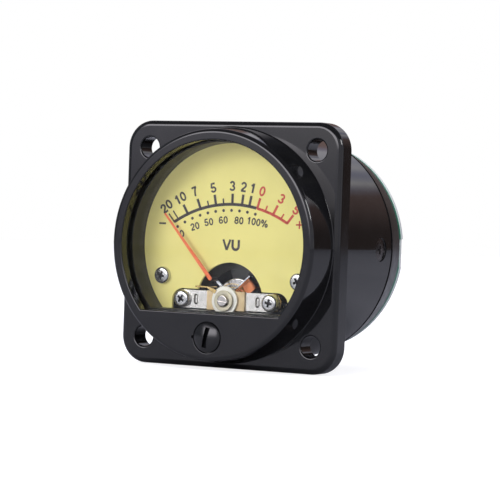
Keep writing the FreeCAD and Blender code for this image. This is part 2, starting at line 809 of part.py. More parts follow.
def make_rear_spring_arm():
    """Brass tag on the rear bridge that holds the rear hairspring's end."""
    base = -axis_drop + spring_arm_rise
    top = base + spring_arm_t
    shelf = box(-spring_arm_out, -spring_arm_in, rear_spring_y0, rear_bridge_y, base, top)
    washer = tube(bush_flange_r, jewel_screw_r + thread_gap, rear_bridge_y - tag_t, rear_bridge_y,
                  0, -axis_drop)
    outer = -spring_arm_in - strap_w
    strap = prism([(outer, top), (outer, base), (-strap_foot_x0, -axis_drop - strap_foot_z0),
                   (-strap_foot_x1, -axis_drop + strap_foot_z1), (-spring_arm_in, top)],
                  rear_bridge_y - tag_t, rear_bridge_y)
    return shelf.fuse(washer).fuse(strap).removeSplitter()


def make_rear_bridge():
    """Rear bridge strip, tapped for the rear jewel screw."""
    strip = obround(2 * bridge_half, rear_bridge_w, rear_bridge_y, rear_bridge_y1, 0, -axis_drop)
    strip = strip.cut(disc(jewel_screw_r + thread_gap, rear_bridge_y - 1, rear_bridge_y1 + 1, 0, -axis_drop))
    for side in (-1, 1):
        strip = strip.cut(disc(m2_r + run_gap, rear_bridge_y - 1, rear_bridge_y1 + 1,
                               side * bridge_screw_x, -axis_drop))
    return strip


def make_base():
    """Base moulding: tapered rim, spigot into the barrel, floor and screw bosses."""
    rim = Part.makeCone(barrel_r, base_rear_r, base_rim_len, V(0, base_y0, 0), V(0, 1, 0))
    spigot = disc(spigot_r, base_y0 - spigot_len, base_y0)
    base = rim.fuse(spigot).cut(disc(spigot_in_r, base_y0 - spigot_len - 1, floor_y0))
    recess_r = base_rear_r - case_wall
    base = base.cut(disc(recess_r, floor_y1, base_y1 + 1))
    for x, z in board_screw_places():
        base = base.fuse(disc(boss_r, floor_y1, base_y1, x, z))
        base = base.cut(disc(board_screw_r + thread_gap, floor_y0 + 0.4, base_y1 + 1, x, z))
    for side in (-1, 1):
        x0, x1 = sorted((side * (spigot_in_r - side_boss_t), side * (spigot_in_r + 0.3)))
        boss = box(x0, x1, side_screw_y - 3, floor_y0, -side_boss_w / 2, side_boss_w / 2)
        base = base.fuse(boss)
    for side in (-1, 1):
        base = base.cut(side_screw_shape(side, thread_gap, 1.0))
        x = side * dial_screw_x
        base = base.cut(disc(m2_r + run_gap, floor_y0 - 1, floor_y1 + 1, x, dial_screw_z))
        base = base.cut(disc(m2_head_r + run_gap, floor_y1, base_y1 + 1, x, dial_screw_z))
        pocket_y = base_y0 - spigot_len - 1
        base = base.cut(hexagon(standoff_af + 2 * run_gap, pocket_y, floor_y0, x, dial_screw_z))
        base = base.cut(disc(terminal_r + run_gap, floor_y0 - 1, floor_y1 + 1, side * terminal_x, 0))
        for lead in (-1, 1):
            x = side * lamp_x + lead * lamp_lead_pitch / 2
            base = base.cut(disc(lead_hole_r, floor_y0 - 1, floor_y1 + 1, x, lamp_z))
    return base.removeSplitter()


def board_holes():
    """Hole list of the circuit board: radius, x, z."""
    holes = [(m2_r + run_gap, x, z) for x, z in board_screw_places()]
    for side in (-1, 1):
        holes.append((terminal_r + run_gap, side * terminal_x, 0))
        for lead in (-1, 1):
            holes.append((lead_hole_r, side * lamp_x + lead * lamp_lead_pitch / 2, lamp_z))
        holes.append((header_pin_w * 0.75, side * header_pitch / 2, header_z))
    for i in range(4):
        for end in (-1, 1):
            holes.append((lead_hole_r, end * diode_span / 2, diode_row(i)))
    for end in (-1, 1):
        holes.append((lead_hole_r, end * resistor_span / 2, resistor_row()))
    return holes


def diode_row(i):
    """Height of one of the four diodes."""
    return board_parts_z + diode_pitch * i


def resistor_row():
    """Height of the lamp resistor, above the lamps' leads."""
    return lamp_z + 3.8


def make_board():
    """Round circuit board with a short flat where it broke from its panel."""
    board = disc(board_r, base_y1, board_y1)
    board = board.cut(box(board_flat_x, board_r + 1, base_y1 - 1, board_y1 + 1, board_flat_z0, board_flat_z1))
    for r, x, z in board_holes():
        board = board.cut(disc(r, base_y1 - 1, board_y1 + 1, x, z))
    return board


def make_board_screws():
    """Three screws that hold the board on the base's bosses."""
    length = board_y1 - floor_y1 + board_screw_grip
    return group([pan_screw(x, z, board_y1, length, 1, board_screw_r) for x, z in board_screw_places()])


def make_standoff_screws():
    """Two screws through the base floor into the standoffs."""
    return group([pan_screw(s * dial_screw_x, dial_screw_z, floor_y1, base_floor_t + standoff_screw_grip, 1)
                  for s in (-1, 1)])


def make_terminals():
    """Two threaded terminal studs with flat heads inside the base."""
    studs = []
    for side in (-1, 1):
        x = side * terminal_x
        stud = disc(terminal_head_r, floor_y0 - terminal_head_t, floor_y0, x, 0)
        stud = stud.fuse(disc(terminal_r, floor_y0, board_y1 + terminal_len, x, 0))
        studs.append(stud)
    return group(studs)


def make_lugs():
    """Solder lugs under the terminal nuts."""
    lugs = []
    for side in (-1, 1):
        x = side * terminal_x
        lug = disc(lug_r, board_y1, board_y1 + lug_t, x, 0)
        lug = lug.fuse(box(x - lug_tail_w / 2, x + lug_tail_w / 2, board_y1, board_y1 + lug_t,
                           -lug_tail_len, 0))
        lug = lug.cut(disc(terminal_r + run_gap, board_y1 - 1, board_y1 + 2, x, 0))
        lugs.append(lug.cut(disc(lug_tail_w * 0.3, board_y1 - 1, board_y1 + 2, x, -lug_tail_len + 1.2)))
    return group(lugs)


def make_terminal_nuts():
    """Hexagon nuts on the terminal studs."""
    nuts = []
    y0 = board_y1 + lug_t
    for side in (-1, 1):
        nut = hexagon(terminal_nut_af, y0, y0 + terminal_nut_t, side * terminal_x, 0)
        nuts.append(nut.cut(disc(terminal_r + thread_gap, y0 - 1, y0 + terminal_nut_t + 1,
                                 side * terminal_x, 0)))
    return group(nuts)


def make_lamps():
    """Two lamps that light the dial from behind."""
    lamps = []
    for side in (-1, 1):
        x = side * lamp_x
        collar = disc(lamp_collar_r, floor_y0 - lamp_collar_t, floor_y0, x, lamp_z)
        body = disc(lamp_r, floor_y0 - lamp_len + lamp_r, floor_y0 - lamp_collar_t, x, lamp_z)
        dome = Part.makeSphere(lamp_r, V(x, floor_y0 - lamp_len + lamp_r, lamp_z))
        lamp = collar.fuse(body).fuse(dome)
        for lead in (-1, 1):
            lamp = lamp.cut(disc(lamp_lead_r, floor_y0 - 0.8, floor_y0 + 1,
                                 x + lead * lamp_lead_pitch / 2, lamp_z))
        lamps.append(lamp)
    return group(lamps)


def make_lamp_leads():
    """Wire legs of the two lamps, through the floor and the board."""
    legs = []
    for side in (-1, 1):
        for lead in (-1, 1):
            legs.append(disc(lamp_lead_r, floor_y0 - 0.8, board_y1 + 0.8,
                             side * lamp_x + lead * lamp_lead_pitch / 2, lamp_z))
    return group(legs)


def axial_part(body_r, body_len, span, lead_r, z):
    """Component with a wire at each end, bent down through the board."""
    y = board_y1 + body_r + 0.1
    body = Part.makeCylinder(body_r, body_len, V(-body_len / 2, y, z), V(1, 0, 0))
    half = span / 2
    for end in (-1, 1):
        x0, x1 = sorted((end * body_len / 2, end * half))
        run = Part.makeCylinder(lead_r, x1 - x0, V(x0, y, z), V(1, 0, 0))
        elbow = Part.makeSphere(lead_r, V(end * half, y, z))
        leg = disc(lead_r, base_y1 - 0.5, y, end * half, z)
        body = body.fuse(run).fuse(elbow).fuse(leg)
    return body


def make_diodes():
    """Four diodes of the rectifier."""
    return group([axial_part(diode_r, diode_len, diode_span, diode_lead_r, diode_row(i)) for i in range(4)])


def make_resistor():
    """Series resistor of the lamps."""
    return axial_part(resistor_r, resistor_len, resistor_span, diode_lead_r, resistor_row())


def make_header_body():
    """Plastic strip of the lamp connector."""
    body = box(-header_pitch, header_pitch, board_y1, board_y1 + header_body_t,
               header_z - header_pitch / 2, header_z + header_pitch / 2)
    w = header_pin_w / 2 + thread_gap
    for side in (-1, 1):
        x = side * header_pitch / 2
        body = body.cut(box(x - w, x + w, board_y1 - 1, board_y1 + header_body_t + 1,
                            header_z - w, header_z + w))
    return body


def make_header_pins():
    """Two square pins of the lamp connector."""
    w = header_pin_w / 2
    return group([box(s * header_pitch / 2 - w, s * header_pitch / 2 + w, base_y1 - 0.5,
                      board_y1 + header_body_t + header_pin_len, header_z - w, header_z + w)
                  for s in (-1, 1)])


def wire_run(points, r):
    """Round insulated wire along straight runs joined by tangent arcs."""
    edges = []
    last = V(*points[0])
    for i in range(1, len(points) - 1):
        a, b, c = V(*points[i - 1]), V(*points[i]), V(*points[i + 1])
        back = (a - b)
        ahead = (c - b)
        run = min(back.Length, ahead.Length) * bend_share
        p = b + back.normalize() * run
        q = b + ahead.normalize() * run
        half_turn = (math.pi - back.getAngle(ahead)) / 2
        radius = run / math.tan(half_turn)
        print("wire bend radius", round(radius, 2))
        to_centre = (back + ahead).normalize() * (radius / math.cos(half_turn))
        middle = b + to_centre + to_centre.normalize() * (-radius)
        edges.append(Part.LineSegment(last, p).toShape())
        edges.append(Part.Arc(p, middle, q).toShape())
        last = q
    edges.append(Part.LineSegment(last, V(*points[-1])).toShape())
    path = Part.Wire(edges)
    start = V(*points[0])
    direction = V(*points[1]) - start
    ring = Part.Wire([Part.makeCircle(r, start, direction)])
    return path.makePipeShell([ring], True, False)


def make_tags():
    """Solder tags under the rear bridge screws."""
    y0 = rear_bridge_y1
    tags = []
    for side in (-1, 1):
        x = side * bridge_screw_x
        ring = disc(tag_r, y0, y0 + tag_t, x, -axis_drop)
        tail = box(x - tag_w / 2, x + tag_w / 2, y0, y0 + tag_t, -axis_drop, -axis_drop + tag_len)
        tag = ring.fuse(tail).cut(disc(m2_r + thread_gap, y0 - 1, y0 + tag_t + 1, x, -axis_drop))
        tags.append(tag)
    return group(tags)


def make_lead(side):
    """Wire from a solder tag to a terminal stud's head."""
    x = side * terminal_x
    foot_x = side * bridge_screw_x
    foot_z = -axis_drop + tag_len - tag_wire_back
    start_y = rear_bridge_y1 + tag_t
    end_y = floor_y0 - terminal_head_t
    return wire_run([(foot_x, start_y, foot_z), (foot_x, start_y + wire_straight, foot_z),
                     (x, end_y - wire_straight, 0), (x, end_y, 0)], lead_wire_r)


def main():
    os.makedirs("parts", exist_ok=True)
    z = -axis_drop
    save("front_case", make_case())
    save("window", make_window())
    save("dial_surround", make_surround())
    save("dial_plate", make_dial())
    save("dial_screws", make_dial_screws())
    save("zero_adjuster", make_adjuster())
    save("front_bridge", make_bridge(bridge_y))
    grip = frame_y0 - bridge_y + bridge_screw_grip
    save("bridge_screws", group([pan_screw(s * bridge_screw_x, z, bridge_y, grip) for s in (-1, 1)]))
    save("bridge_insulator", make_front_insulator())
    save("rear_insulator", make_rear_insulator())
    save("front_posts", make_posts(post_r, bridge_back_y, frame_y0, m2_r + thread_gap))
    save("jewel_bush", make_bush())
    save("lock_nut", make_nut())
    save("zero_lever", make_lever())
    save("spring_arm", make_spring_arm())
    save("front_jewel_screw", make_jewel_screw(jewel_front_y, bush_back_y, True))
    save("front_jewel", make_jewel(bush_back_y, 1))
    save("needle", make_needle())
    save("pointer_carrier", make_cross())
    save("tail_weight", make_tail_weight())
    save("coil_former", make_former())
    save("coil_winding", make_winding())
    save("front_pivot", make_pivot(bush_back_y, coil_y0, 1))
    save("rear_pivot", make_pivot(rear_jewel_y, coil_y1, -1))
    save("front_hairspring", make_hairspring(spring_y0))
    save("rear_hairspring", make_hairspring(rear_spring_y0))
    save("core_magnet", make_core())
    save("yoke_ring", make_yoke())
    save("core_webs", make_webs())
    save("movement_frame", make_frame())
    save("rear_posts", make_posts(rear_post_r, frame_y1, rear_bridge_y, m2_r + thread_gap))
    save("rear_bridge", make_rear_bridge())
    save("bridge_tags", make_tags())
    save("rear_bridge_screws", group([pan_screw(s * bridge_screw_x, z, rear_bridge_y1 + tag_t,
                                                bridge_t + tag_t + rear_screw_grip, 1) for s in (-1, 1)]))
    save("rear_spring_arm", make_rear_spring_arm())
    save("rear_jewel_screw", make_jewel_screw(rear_jewel_y, rear_bridge_y1 + rear_jewel_proud, False))
    save("rear_jewel", make_jewel(rear_jewel_y, -1))
    save("rear_lock_nut", hexagon(2 * nut_r, rear_bridge_y1, rear_bridge_y1 + rear_nut_t, 0, z).cut(
        disc(jewel_screw_r + thread_gap, rear_bridge_y1 - 1, rear_bridge_y1 + far, 0, z)))
    save("standoffs", make_standoffs())
    save("standoff_screws", make_standoff_screws())
    save("base", make_base())
    save("side_screws", make_side_screws())
    save("circuit_board", make_board())
    save("board_screws", make_board_screws())
    save("terminal_studs", make_terminals())
    save("solder_lugs", make_lugs())
    save("terminal_nuts", make_terminal_nuts())
    save("lamps", make_lamps())
    save("lamp_leads", make_lamp_leads())
    save("diodes", make_diodes())
    save("lamp_resistor", make_resistor())
    save("header_body", make_header_body())
    save("header_pins", make_header_pins())
    save("lead_wires", group([make_lead(-1), make_lead(1)]))


main()
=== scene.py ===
import math

import bpy
from mathutils import Matrix, Vector


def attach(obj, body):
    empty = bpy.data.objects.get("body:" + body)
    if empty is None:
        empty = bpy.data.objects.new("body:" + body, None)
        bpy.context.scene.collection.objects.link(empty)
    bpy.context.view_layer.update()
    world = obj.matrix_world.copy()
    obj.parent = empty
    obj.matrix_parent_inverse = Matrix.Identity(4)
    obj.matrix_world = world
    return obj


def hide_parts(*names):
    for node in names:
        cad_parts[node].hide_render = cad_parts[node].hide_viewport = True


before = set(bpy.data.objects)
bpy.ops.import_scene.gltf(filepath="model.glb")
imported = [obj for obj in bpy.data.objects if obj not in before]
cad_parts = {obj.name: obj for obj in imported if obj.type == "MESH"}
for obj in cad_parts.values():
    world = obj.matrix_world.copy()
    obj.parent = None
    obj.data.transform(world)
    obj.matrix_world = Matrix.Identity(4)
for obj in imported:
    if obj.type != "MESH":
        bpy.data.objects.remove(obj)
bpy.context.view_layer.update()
bpy.context.scene.view_settings.view_transform = "Standard"

# Sizes are in metres. The dial looks towards -Y and the flange's rear face is at Y = 0.
MM = 0.001
BEZEL_FRONT = -10.35 * MM
LIP_BACK = -8.55 * MM
FLANGE_FRONT = -3.75 * MM
DIAL_FRONT = -2.75 * MM
BARREL_END = 20.4 * MM
BOARD_FRONT = 26.3 * MM
BOARD_BACK = 27.9 * MM

FLANGE_HALF = 22.5 * MM
BOLT_OFFSET = 17.5 * MM
BOLT_HOLE_R = 1.95 * MM
BEZEL_R = 20.8 * MM
BEZEL_ROOT_R = 21.43 * MM
APERTURE_R = 18.85 * MM
APERTURE_CHORD = -12.3 * MM
BARREL_R = 21.3 * MM
BORE_R = 19.8 * MM
SIDE_SCREW_X = 21.05 * MM
SIDE_SCREW_Y = 15.8 * MM

# Angles are in degrees from upright, clockwise as seen from the front.
AXIS_Z = -10.15 * MM
SCALE_START = -41.2
SCALE_ZERO = 17.0
SCALE_END = 38.4
ADJUSTER_Z = -16.65 * MM
SLOT_HALF_W = 0.425 * MM
SLOT_HALF_L = 1.85 * MM
SLOT_TURN = 11
TURN_TO_FRONT = (math.radians(90), 0, 0)
CREASE_ANGLE = math.radians(32)
CORNER_ANGLE = math.radians(35)


# Handling

def leave_edit():
    bpy.ops.object.mode_set(mode="OBJECT")


def deselect():
    if bpy.context.object and bpy.context.object.mode != "OBJECT":
        leave_edit()
    bpy.ops.object.select_all(action="DESELECT")


def hold(piece):
    """Make one piece the selected, active one."""
    deselect()
    piece.select_set(True)
    bpy.context.view_layer.objects.active = piece


def edit(piece, part="VERT", action="SELECT"):
    """Enter edit mode on one piece, with all or none of it selected."""
    hold(piece)
    bpy.ops.object.mode_set(mode="EDIT")
    bpy.ops.mesh.select_mode(type=part)
    bpy.ops.mesh.select_all(action=action)


def settle(piece):
    """Put a piece's place into its mesh."""
    hold(piece)
    bpy.ops.object.transform_apply(location=True, rotation=True, scale=True)


def new_piece(name):
    """Name the primitive just added and settle it."""
    piece = bpy.context.object
    piece.name = name
    settle(piece)
    return piece


def lay(piece, turns, spot=(0, 0, 0)):
    """Turn a piece by degrees about the axes, then move it."""
    piece.rotation_euler = [math.radians(degrees) for degrees in turns]
    piece.location = spot
    settle(piece)
    return piece


def moved(piece, x, y, z):
    piece.data.transform(Matrix.Translation((x, y, z)))
    return piece


def turned(piece, degrees, axis="Y"):
    """Turn a mesh about an axis through the origin."""
    piece.data.transform(Matrix.Rotation(math.radians(degrees), 4, axis))
    return piece


def turned_about_needle(piece, degrees):
    """Turn a mesh about the needle's axis."""
    moved(piece, 0, 0, -AXIS_Z)
    return moved(turned(piece, degrees), 0, 0, AXIS_Z)


def rod(name, r, y0, y1, x=0.0, z=0.0, sides=96):
    """Cylinder along Y."""
    deselect()
    bpy.ops.mesh.primitive_cylinder_add(vertices=sides, radius=r, depth=y1 - y0,
                                        location=(x, (y0 + y1) / 2, z), rotation=TURN_TO_FRONT)
    return new_piece(name)


def block(name, x0, x1, y0, y1, z0, z1):
    """Block between two corners."""
    deselect()
    bpy.ops.mesh.primitive_cube_add(size=1, location=((x0 + x1) / 2, (y0 + y1) / 2, (z0 + z1) / 2),
                                    scale=(x1 - x0, y1 - y0, z1 - z0))
    return new_piece(name)


def traced(name, points):
    """Line of edges through points, left in edit mode and selected."""
    deselect()
    bpy.ops.mesh.primitive_plane_add(size=0.0001)
    line = new_piece(name)
    edit(line)
    bpy.ops.mesh.merge(type="CENTER")
    bpy.ops.transform.translate(value=points[0])
    for before, after in zip(points, points[1:]):
        step = [b - a for a, b in zip(before, after)]
        bpy.ops.mesh.extrude_region_move(TRANSFORM_OT_translate={"value": step})
    bpy.ops.mesh.select_all(action="SELECT")
    return line


def lathed(name, profile, x=0.0, z=0.0, steps=96):
    """Spin a line of (radius, y) points about the line along Y through x, z."""
    piece = traced(name, [(x + r, y, z) for r, y in profile])
    bpy.ops.mesh.spin(steps=steps, angle=math.tau, center=(x, 0, z), axis=(0, 1, 0))
    bpy.ops.mesh.select_all(action="SELECT")
    bpy.ops.mesh.remove_doubles(threshold=2e-6)
    bpy.ops.mesh.normals_make_consistent(inside=False)
    leave_edit()
    return piece


def quarter(centre_r, centre_y, r, start, end, count=6):
    """Points of a rounded corner in a profile, angles in degrees from outwards towards the rear."""
    points = []
    for i in range(count + 1):
        a = math.radians(start + (end - start) * i / count)
        points.append((centre_r + r * math.cos(a), centre_y + r * math.sin(a)))
    return points


def pick(piece, part, test):
    """Select the edges or faces that pass a test, and enter edit mode."""
    edit(piece, part, "DESELECT")
    leave_edit()
    for item in piece.data.edges if part == "EDGE" else piece.data.polygons:
        item.select = test(item)
    bpy.ops.object.mode_set(mode="EDIT")


def pick_edges(piece, test):
    """Select the edges whose two ends pass a test, and enter edit mode."""
    pick(piece, "EDGE", lambda edge: test(*(piece.data.vertices[i].co for i in edge.vertices)))


def round_edges(piece, test, width, segments=4):
    """Bevel the chosen edges."""
    pick_edges(piece, test)
    bpy.ops.mesh.bevel(offset=width, segments=segments, profile=0.5, affect="EDGES")
    leave_edit()
    return piece


def taper(piece, test, scale):
    """Scale the chosen edges about their middle."""
    pick_edges(piece, test)
    bpy.ops.transform.resize(value=scale)
    leave_edit()


def apply_modifier(piece, kind, **settings):
    """Add a modifier and apply it."""
    hold(piece)
    modifier = piece.modifiers.new("step", kind)
    for key, value in settings.items():
        setattr(modifier, key, value)
    bpy.ops.object.modifier_apply(modifier=modifier.name)


def ease_corners(piece, width, segments):
    """Bevel every edge sharper than the corner angle."""
    apply_modifier(piece, "BEVEL", width=width, segments=segments, limit_method="ANGLE",
                   angle_limit=CORNER_ANGLE)


def combine(piece, other, operation):
    """Join or cut with another piece, which is used up."""
    apply_modifier(piece, "BOOLEAN", operation=operation, solver="MANIFOLD", object=other)
    bpy.data.objects.remove(other)


def cut(piece, other):
    combine(piece, other, "DIFFERENCE")


def joined(pieces, name):
    """Put several pieces into one object."""
    deselect()
    for piece in pieces:
        piece.select_set(True)
    bpy.context.view_layer.objects.active = pieces[0]
    if len(pieces) > 1:
        bpy.ops.object.join()
    pieces[0].name = name
    return pieces[0]


def copy_of(piece, name):
    """A copy with its own mesh."""
    twin = piece.copy()
    twin.data = piece.data.copy()
    twin.name = name
    bpy.context.scene.collection.objects.link(twin)
    return twin


def softened(node, name, width, segments=2):
    """A copy of a CAD node with its sharp corners eased."""
    piece = copy_of(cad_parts[node], name)
    piece.parent = None
    for key in list(piece.keys()):
        del piece[key]
    edit(piece)
    bpy.ops.mesh.remove_doubles(threshold=1e-6)
    bpy.ops.mesh.dissolve_limited(angle_limit=math.radians(1.0))
    leave_edit()
    ease_corners(piece, width, segments)
    return piece


def keep_flats(piece):
    """Crease the rims of the flat faces across Y, so that rounded edges beside them don't shade them."""
    pick(piece, "FACE", lambda face: abs(face.normal.y) > 0.9999)
    bpy.ops.mesh.region_to_loop()
    bpy.ops.mesh.mark_sharp()
    leave_edit()


def place(piece, body, slot, finish, *nodes):
    """Finish a new piece: crisp smooth shading, material, body and the CAD nodes it stands for. The slot is
    not used.
    """
    keep_flats(piece)
    hold(piece)
    bpy.ops.object.shade_smooth_by_angle(angle=CREASE_ANGLE, keep_sharp_edges=True)
    apply_modifier(piece, "WEIGHTED_NORMAL", keep_sharp=True, weight=60)
    piece.data.materials.clear()
    piece.data.materials.append(finish)
    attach(piece, body)
    if nodes:
        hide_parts(*nodes)


def dress(finish, *nodes):
    """Give carried-over CAD nodes a finish."""
    for node in nodes:
        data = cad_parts[node].data
        data.materials.clear()
        data.materials.append(finish)


# Shader nodes

def add(tree, kind, **values):
    """Add a node, with input values by name, underscores for spaces."""
    node = tree.nodes.new("ShaderNode" + kind)
    for name, value in values.items():
        node.inputs[name.replace("_", " ")].default_value = value
    return node


def feed(tree, value, socket):
    """Link an output to an input, or give the input a number or an (r, g, b) colour."""
    if isinstance(value, bpy.types.NodeSocket):
        tree.links.new(value, socket)
    else:
        socket.default_value = (*value, 1) if isinstance(value, tuple) else value


def calc(tree, operation, *values):
    """Result of a sum on outputs and numbers."""
    node = add(tree, "Math")
    node.operation = operation
    for value, socket in zip(values, node.inputs):
        feed(tree, value, socket)
    return node.outputs["Value"]


def graded(tree, value, low, high, start=0.0, end=1.0, kind="LINEAR"):
    """Goes from start to end as the value goes from low to high."""
    node = add(tree, "MapRange", From_Min=low, From_Max=high, To_Min=start, To_Max=end)
    node.interpolation_type = kind
    feed(tree, value, node.inputs["Value"])
    return node.outputs["Result"]


def color_ramp(tree, value, dark, light, low=0.0, high=1.0):
    """Goes from dark to light as the value goes from low to high."""
    node = add(tree, "ValToRGB")
    for element, position, color in zip(node.color_ramp.elements, (low, high), (dark, light)):
        element.position = position
        element.color = (*color, 1)
    feed(tree, value, node.inputs["Fac"])
    return node.outputs["Color"]


def blend(tree, factor, first, second):
    """Mix of two colours, all second where the factor is 1."""
    node = add(tree, "Mix")
    node.data_type = "RGBA"
    for value, i in ((factor, 0), (first, 6), (second, 7)):
        feed(tree, value, node.inputs[i])
    return node.outputs[2]


def blend_shaders(tree, factor, first, second):
    node = add(tree, "MixShader")
    for value, socket in zip((factor, first, second), node.inputs):
        feed(tree, value, socket)
    return node.outputs["Shader"]


def split_axes(tree, vector):
    """The X, Y and Z outputs of a vector."""
    node = add(tree, "SeparateXYZ")
    feed(tree, vector, node.inputs["Vector"])
    return node.outputs


def mapped(tree, **values):
    """Object coordinates, scaled or turned."""
    node = add(tree, "Mapping", **values)
    feed(tree, add(tree, "TexCoord").outputs["Object"], node.inputs["Vector"])
    return node.outputs["Vector"]


def noise(tree, scale, detail=2.0, stretch=(1, 1, 1)):
    """Noise on Object coordinates, scale per metre."""
    texture = add(tree, "TexNoise", Scale=scale, Detail=detail)
    feed(tree, mapped(tree, Scale=stretch), texture.inputs["Vector"])
    return texture.outputs["Fac"]


# Finishes

def finish_base(name, color, roughness, metallic=0.0):
    """A material with its node tree and main shader."""
    material = bpy.data.materials.new(name)
    material.use_nodes = True
    tree = material.node_tree
    shader = tree.nodes["Principled BSDF"]
    shader.inputs["Base Color"].default_value = (*color, 1)
    shader.inputs["Roughness"].default_value = roughness
    shader.inputs["Metallic"].default_value = metallic
    return material, tree, shader


def vary_roughness(tree, shader, pattern, low, high):
    feed(tree, graded(tree, pattern, 0.3, 0.7, low, high), shader.inputs["Roughness"])


def vary_color(tree, shader, pattern, dark, light):
    feed(tree, color_ramp(tree, pattern, dark, light, 0.35, 0.65), shader.inputs["Base Color"])


def bump(tree, shader, pattern, height, strength=1.0):
    """Surface relief, height in metres."""
    relief = add(tree, "Bump", Strength=strength, Distance=height)
    feed(tree, pattern, relief.inputs["Height"])
    feed(tree, relief.outputs["Normal"], shader.inputs["Normal"])


def moulded(name, dark, light, rough_low, rough_high, grain=900, relief=2e-6):
    """Moulded plastic: faint mottle, uneven gloss and a slight orange peel."""
    material, tree, shader = finish_base(name, dark, rough_low)
    vary_color(tree, shader, noise(tree, grain * 0.3), dark, light)
    vary_roughness(tree, shader, noise(tree, grain * 0.5, 3.0), rough_low, rough_high)
    bump(tree, shader, noise(tree, grain, 3.0), relief)
    return material


def metal(name, dark, light, rough_low, rough_high, grain=3000, stretch=(1, 1, 1), relief=1e-6,
          metallic=1.0):
    """Bare or plated metal with fine grain."""
    material, tree, shader = finish_base(name, light, rough_low, metallic)
    vary_color(tree, shader, noise(tree, grain * 0.2, 3.0), dark, light)
    vary_roughness(tree, shader, noise(tree, grain * 0.6, 3.0, stretch), rough_low, rough_high)
    bump(tree, shader, noise(tree, grain, 2.0, stretch), relief)
    return material


def glass_finish(name, color, roughness, ior):
    """Clear or tinted glass."""
    material, tree, shader = finish_base(name, color, roughness)
    shader.inputs["IOR"].default_value = ior
    shader.inputs["Transmission Weight"].default_value = 0.9
    vary_roughness(tree, shader, noise(tree, 2000), roughness, roughness + 0.06)
    return material


def recess_shade_mask(tree):
    """1 on the faces marked as a recess, where shade is painted, 0 elsewhere."""
    mark = add(tree, "Attribute")
    mark.attribute_name = "recess"
    return mark.outputs["Fac"]


def screw_finish():
    """Bright plated screws, with painted shade in their cross recesses."""
    material = metal("chrome_steel", (0.52, 0.51, 0.50), (0.64, 0.63, 0.62), 0.14, 0.22, metallic=0.9)
    tree = material.node_tree
    color = tree.nodes["Principled BSDF"].inputs["Base Color"]
    plate = color.links[0].from_socket
    # Painted shade: the recess faces take a near-black colour that stands in for the shadow inside the cross.
    feed(tree, blend(tree, recess_shade_mask(tree), plate, (0.09, 0.085, 0.09)), color)
    return material


def adjuster_finish():
    """Glossy black, with painted shade in the slot: its reflection is turned almost off there."""
    material = moulded("adjuster_black", (0.0035, 0.0035, 0.004), (0.005, 0.005, 0.0055), 0.14, 0.2,
                       700, 1.0e-6)
    tree = material.node_tree
    # Painted shade: the slot's faces lose nearly all their reflection, so that the slot reads as shadowed.
    slot_shade = graded(tree, recess_shade_mask(tree), 0, 1, 0.5, 0.02)
    feed(tree, slot_shade, tree.nodes["Principled BSDF"].inputs["Specular IOR Level"])
    return material


def board_finish():
    """Glass laminate: green mask on its faces and down its front edge, pale where the edge is sawn."""
    material, tree, shader = finish_base("board_laminate", (0.02, 0.12, 0.07), 0.3)
    coords = add(tree, "TexCoord")
    depth = split_axes(tree, coords.outputs["Object"])["Y"]
    facing = calc(tree, "ABSOLUTE", split_axes(tree, coords.outputs["Normal"])["Y"])
    front_skin = calc(tree, "LESS_THAN", depth, BOARD_FRONT + 0.75 * MM)
    rear_skin = calc(tree, "GREATER_THAN", depth, BOARD_BACK - 0.5 * MM)
    masked = graded(tree, calc(tree, "MAXIMUM", facing, front_skin), 0.55, 0.75)
    mask = color_ramp(tree, noise(tree, 500, 3.0), (0.003, 0.085, 0.05), (0.007, 0.12, 0.075))
    fibres = noise(tree, 4000, 3.0, (1, 6, 1))
    sawn = color_ramp(tree, fibres, (0.38, 0.47, 0.43), (0.52, 0.61, 0.57))
    edge = blend(tree, rear_skin, sawn, (0.40, 0.40, 0.41))
    feed(tree, blend(tree, masked, edge, mask), shader.inputs["Base Color"])
    vary_roughness(tree, shader, noise(tree, 700), 0.25, 0.4)
    bump(tree, shader, fibres, 3e-6, 0.6)
    return material


def dial_card_finish():
    """Painted dial, matt with a very fine tooth, with a faint painted glow standing in for light from behind.
    """
    material, tree, shader = finish_base("dial_card_paint_and_glow", (0.745, 0.655, 0.235), 0.6)
    vary_color(tree, shader, noise(tree, 180, 3.0), (0.725, 0.638, 0.225), (0.765, 0.675, 0.245))
    bump(tree, shader, noise(tree, 9000), 2e-6, 0.5)
    # Painted light: a faint emission glow stands in for light from behind the dial and lifts the bezel's
    # shade on it.
    shader.inputs["Emission Color"].default_value = (0.79, 0.695, 0.255, 1)
    shader.inputs["Emission Strength"].default_value = 0.19
    return material


def window_finish():
    """Clear acrylic as a thin pane: light passes straight, and the surface reflects by its angle."""
    material, tree, shader = finish_base("clear_acrylic", (0.98, 0.99, 0.98), 0.02)
    tree.nodes.remove(shader)
    clear = add(tree, "BsdfTransparent", Color=(0.99, 1.0, 0.99, 1))
    gloss = add(tree, "BsdfGlossy")
    vary_roughness(tree, gloss, noise(tree, 60), 0.005, 0.03)
    angle = add(tree, "Fresnel", IOR=1.3)
    pane = blend_shaders(tree, angle.outputs["Fac"], clear.outputs["BSDF"], gloss.outputs["BSDF"])
    feed(tree, pane, tree.nodes["Material Output"].inputs["Surface"])
    return material


def winding_finish():
    """Enamelled copper wire, turn beside turn."""
    material, tree, shader = finish_base("copper_turns", (0.72, 0.32, 0.14), 0.3, 1.0)
    turns = add(tree, "TexWave", Scale=1600, Distortion=0.6, Detail_Scale=300)
    turns.bands_direction = "Z"
    feed(tree, mapped(tree, Rotation=(0, math.radians(SCALE_START), 0)), turns.inputs["Vector"])
    vary_color(tree, shader, turns.outputs["Fac"], (0.20, 0.06, 0.025), (0.47, 0.17, 0.075))
    bump(tree, shader, turns.outputs["Fac"], 2e-5, 0.8)
    return material


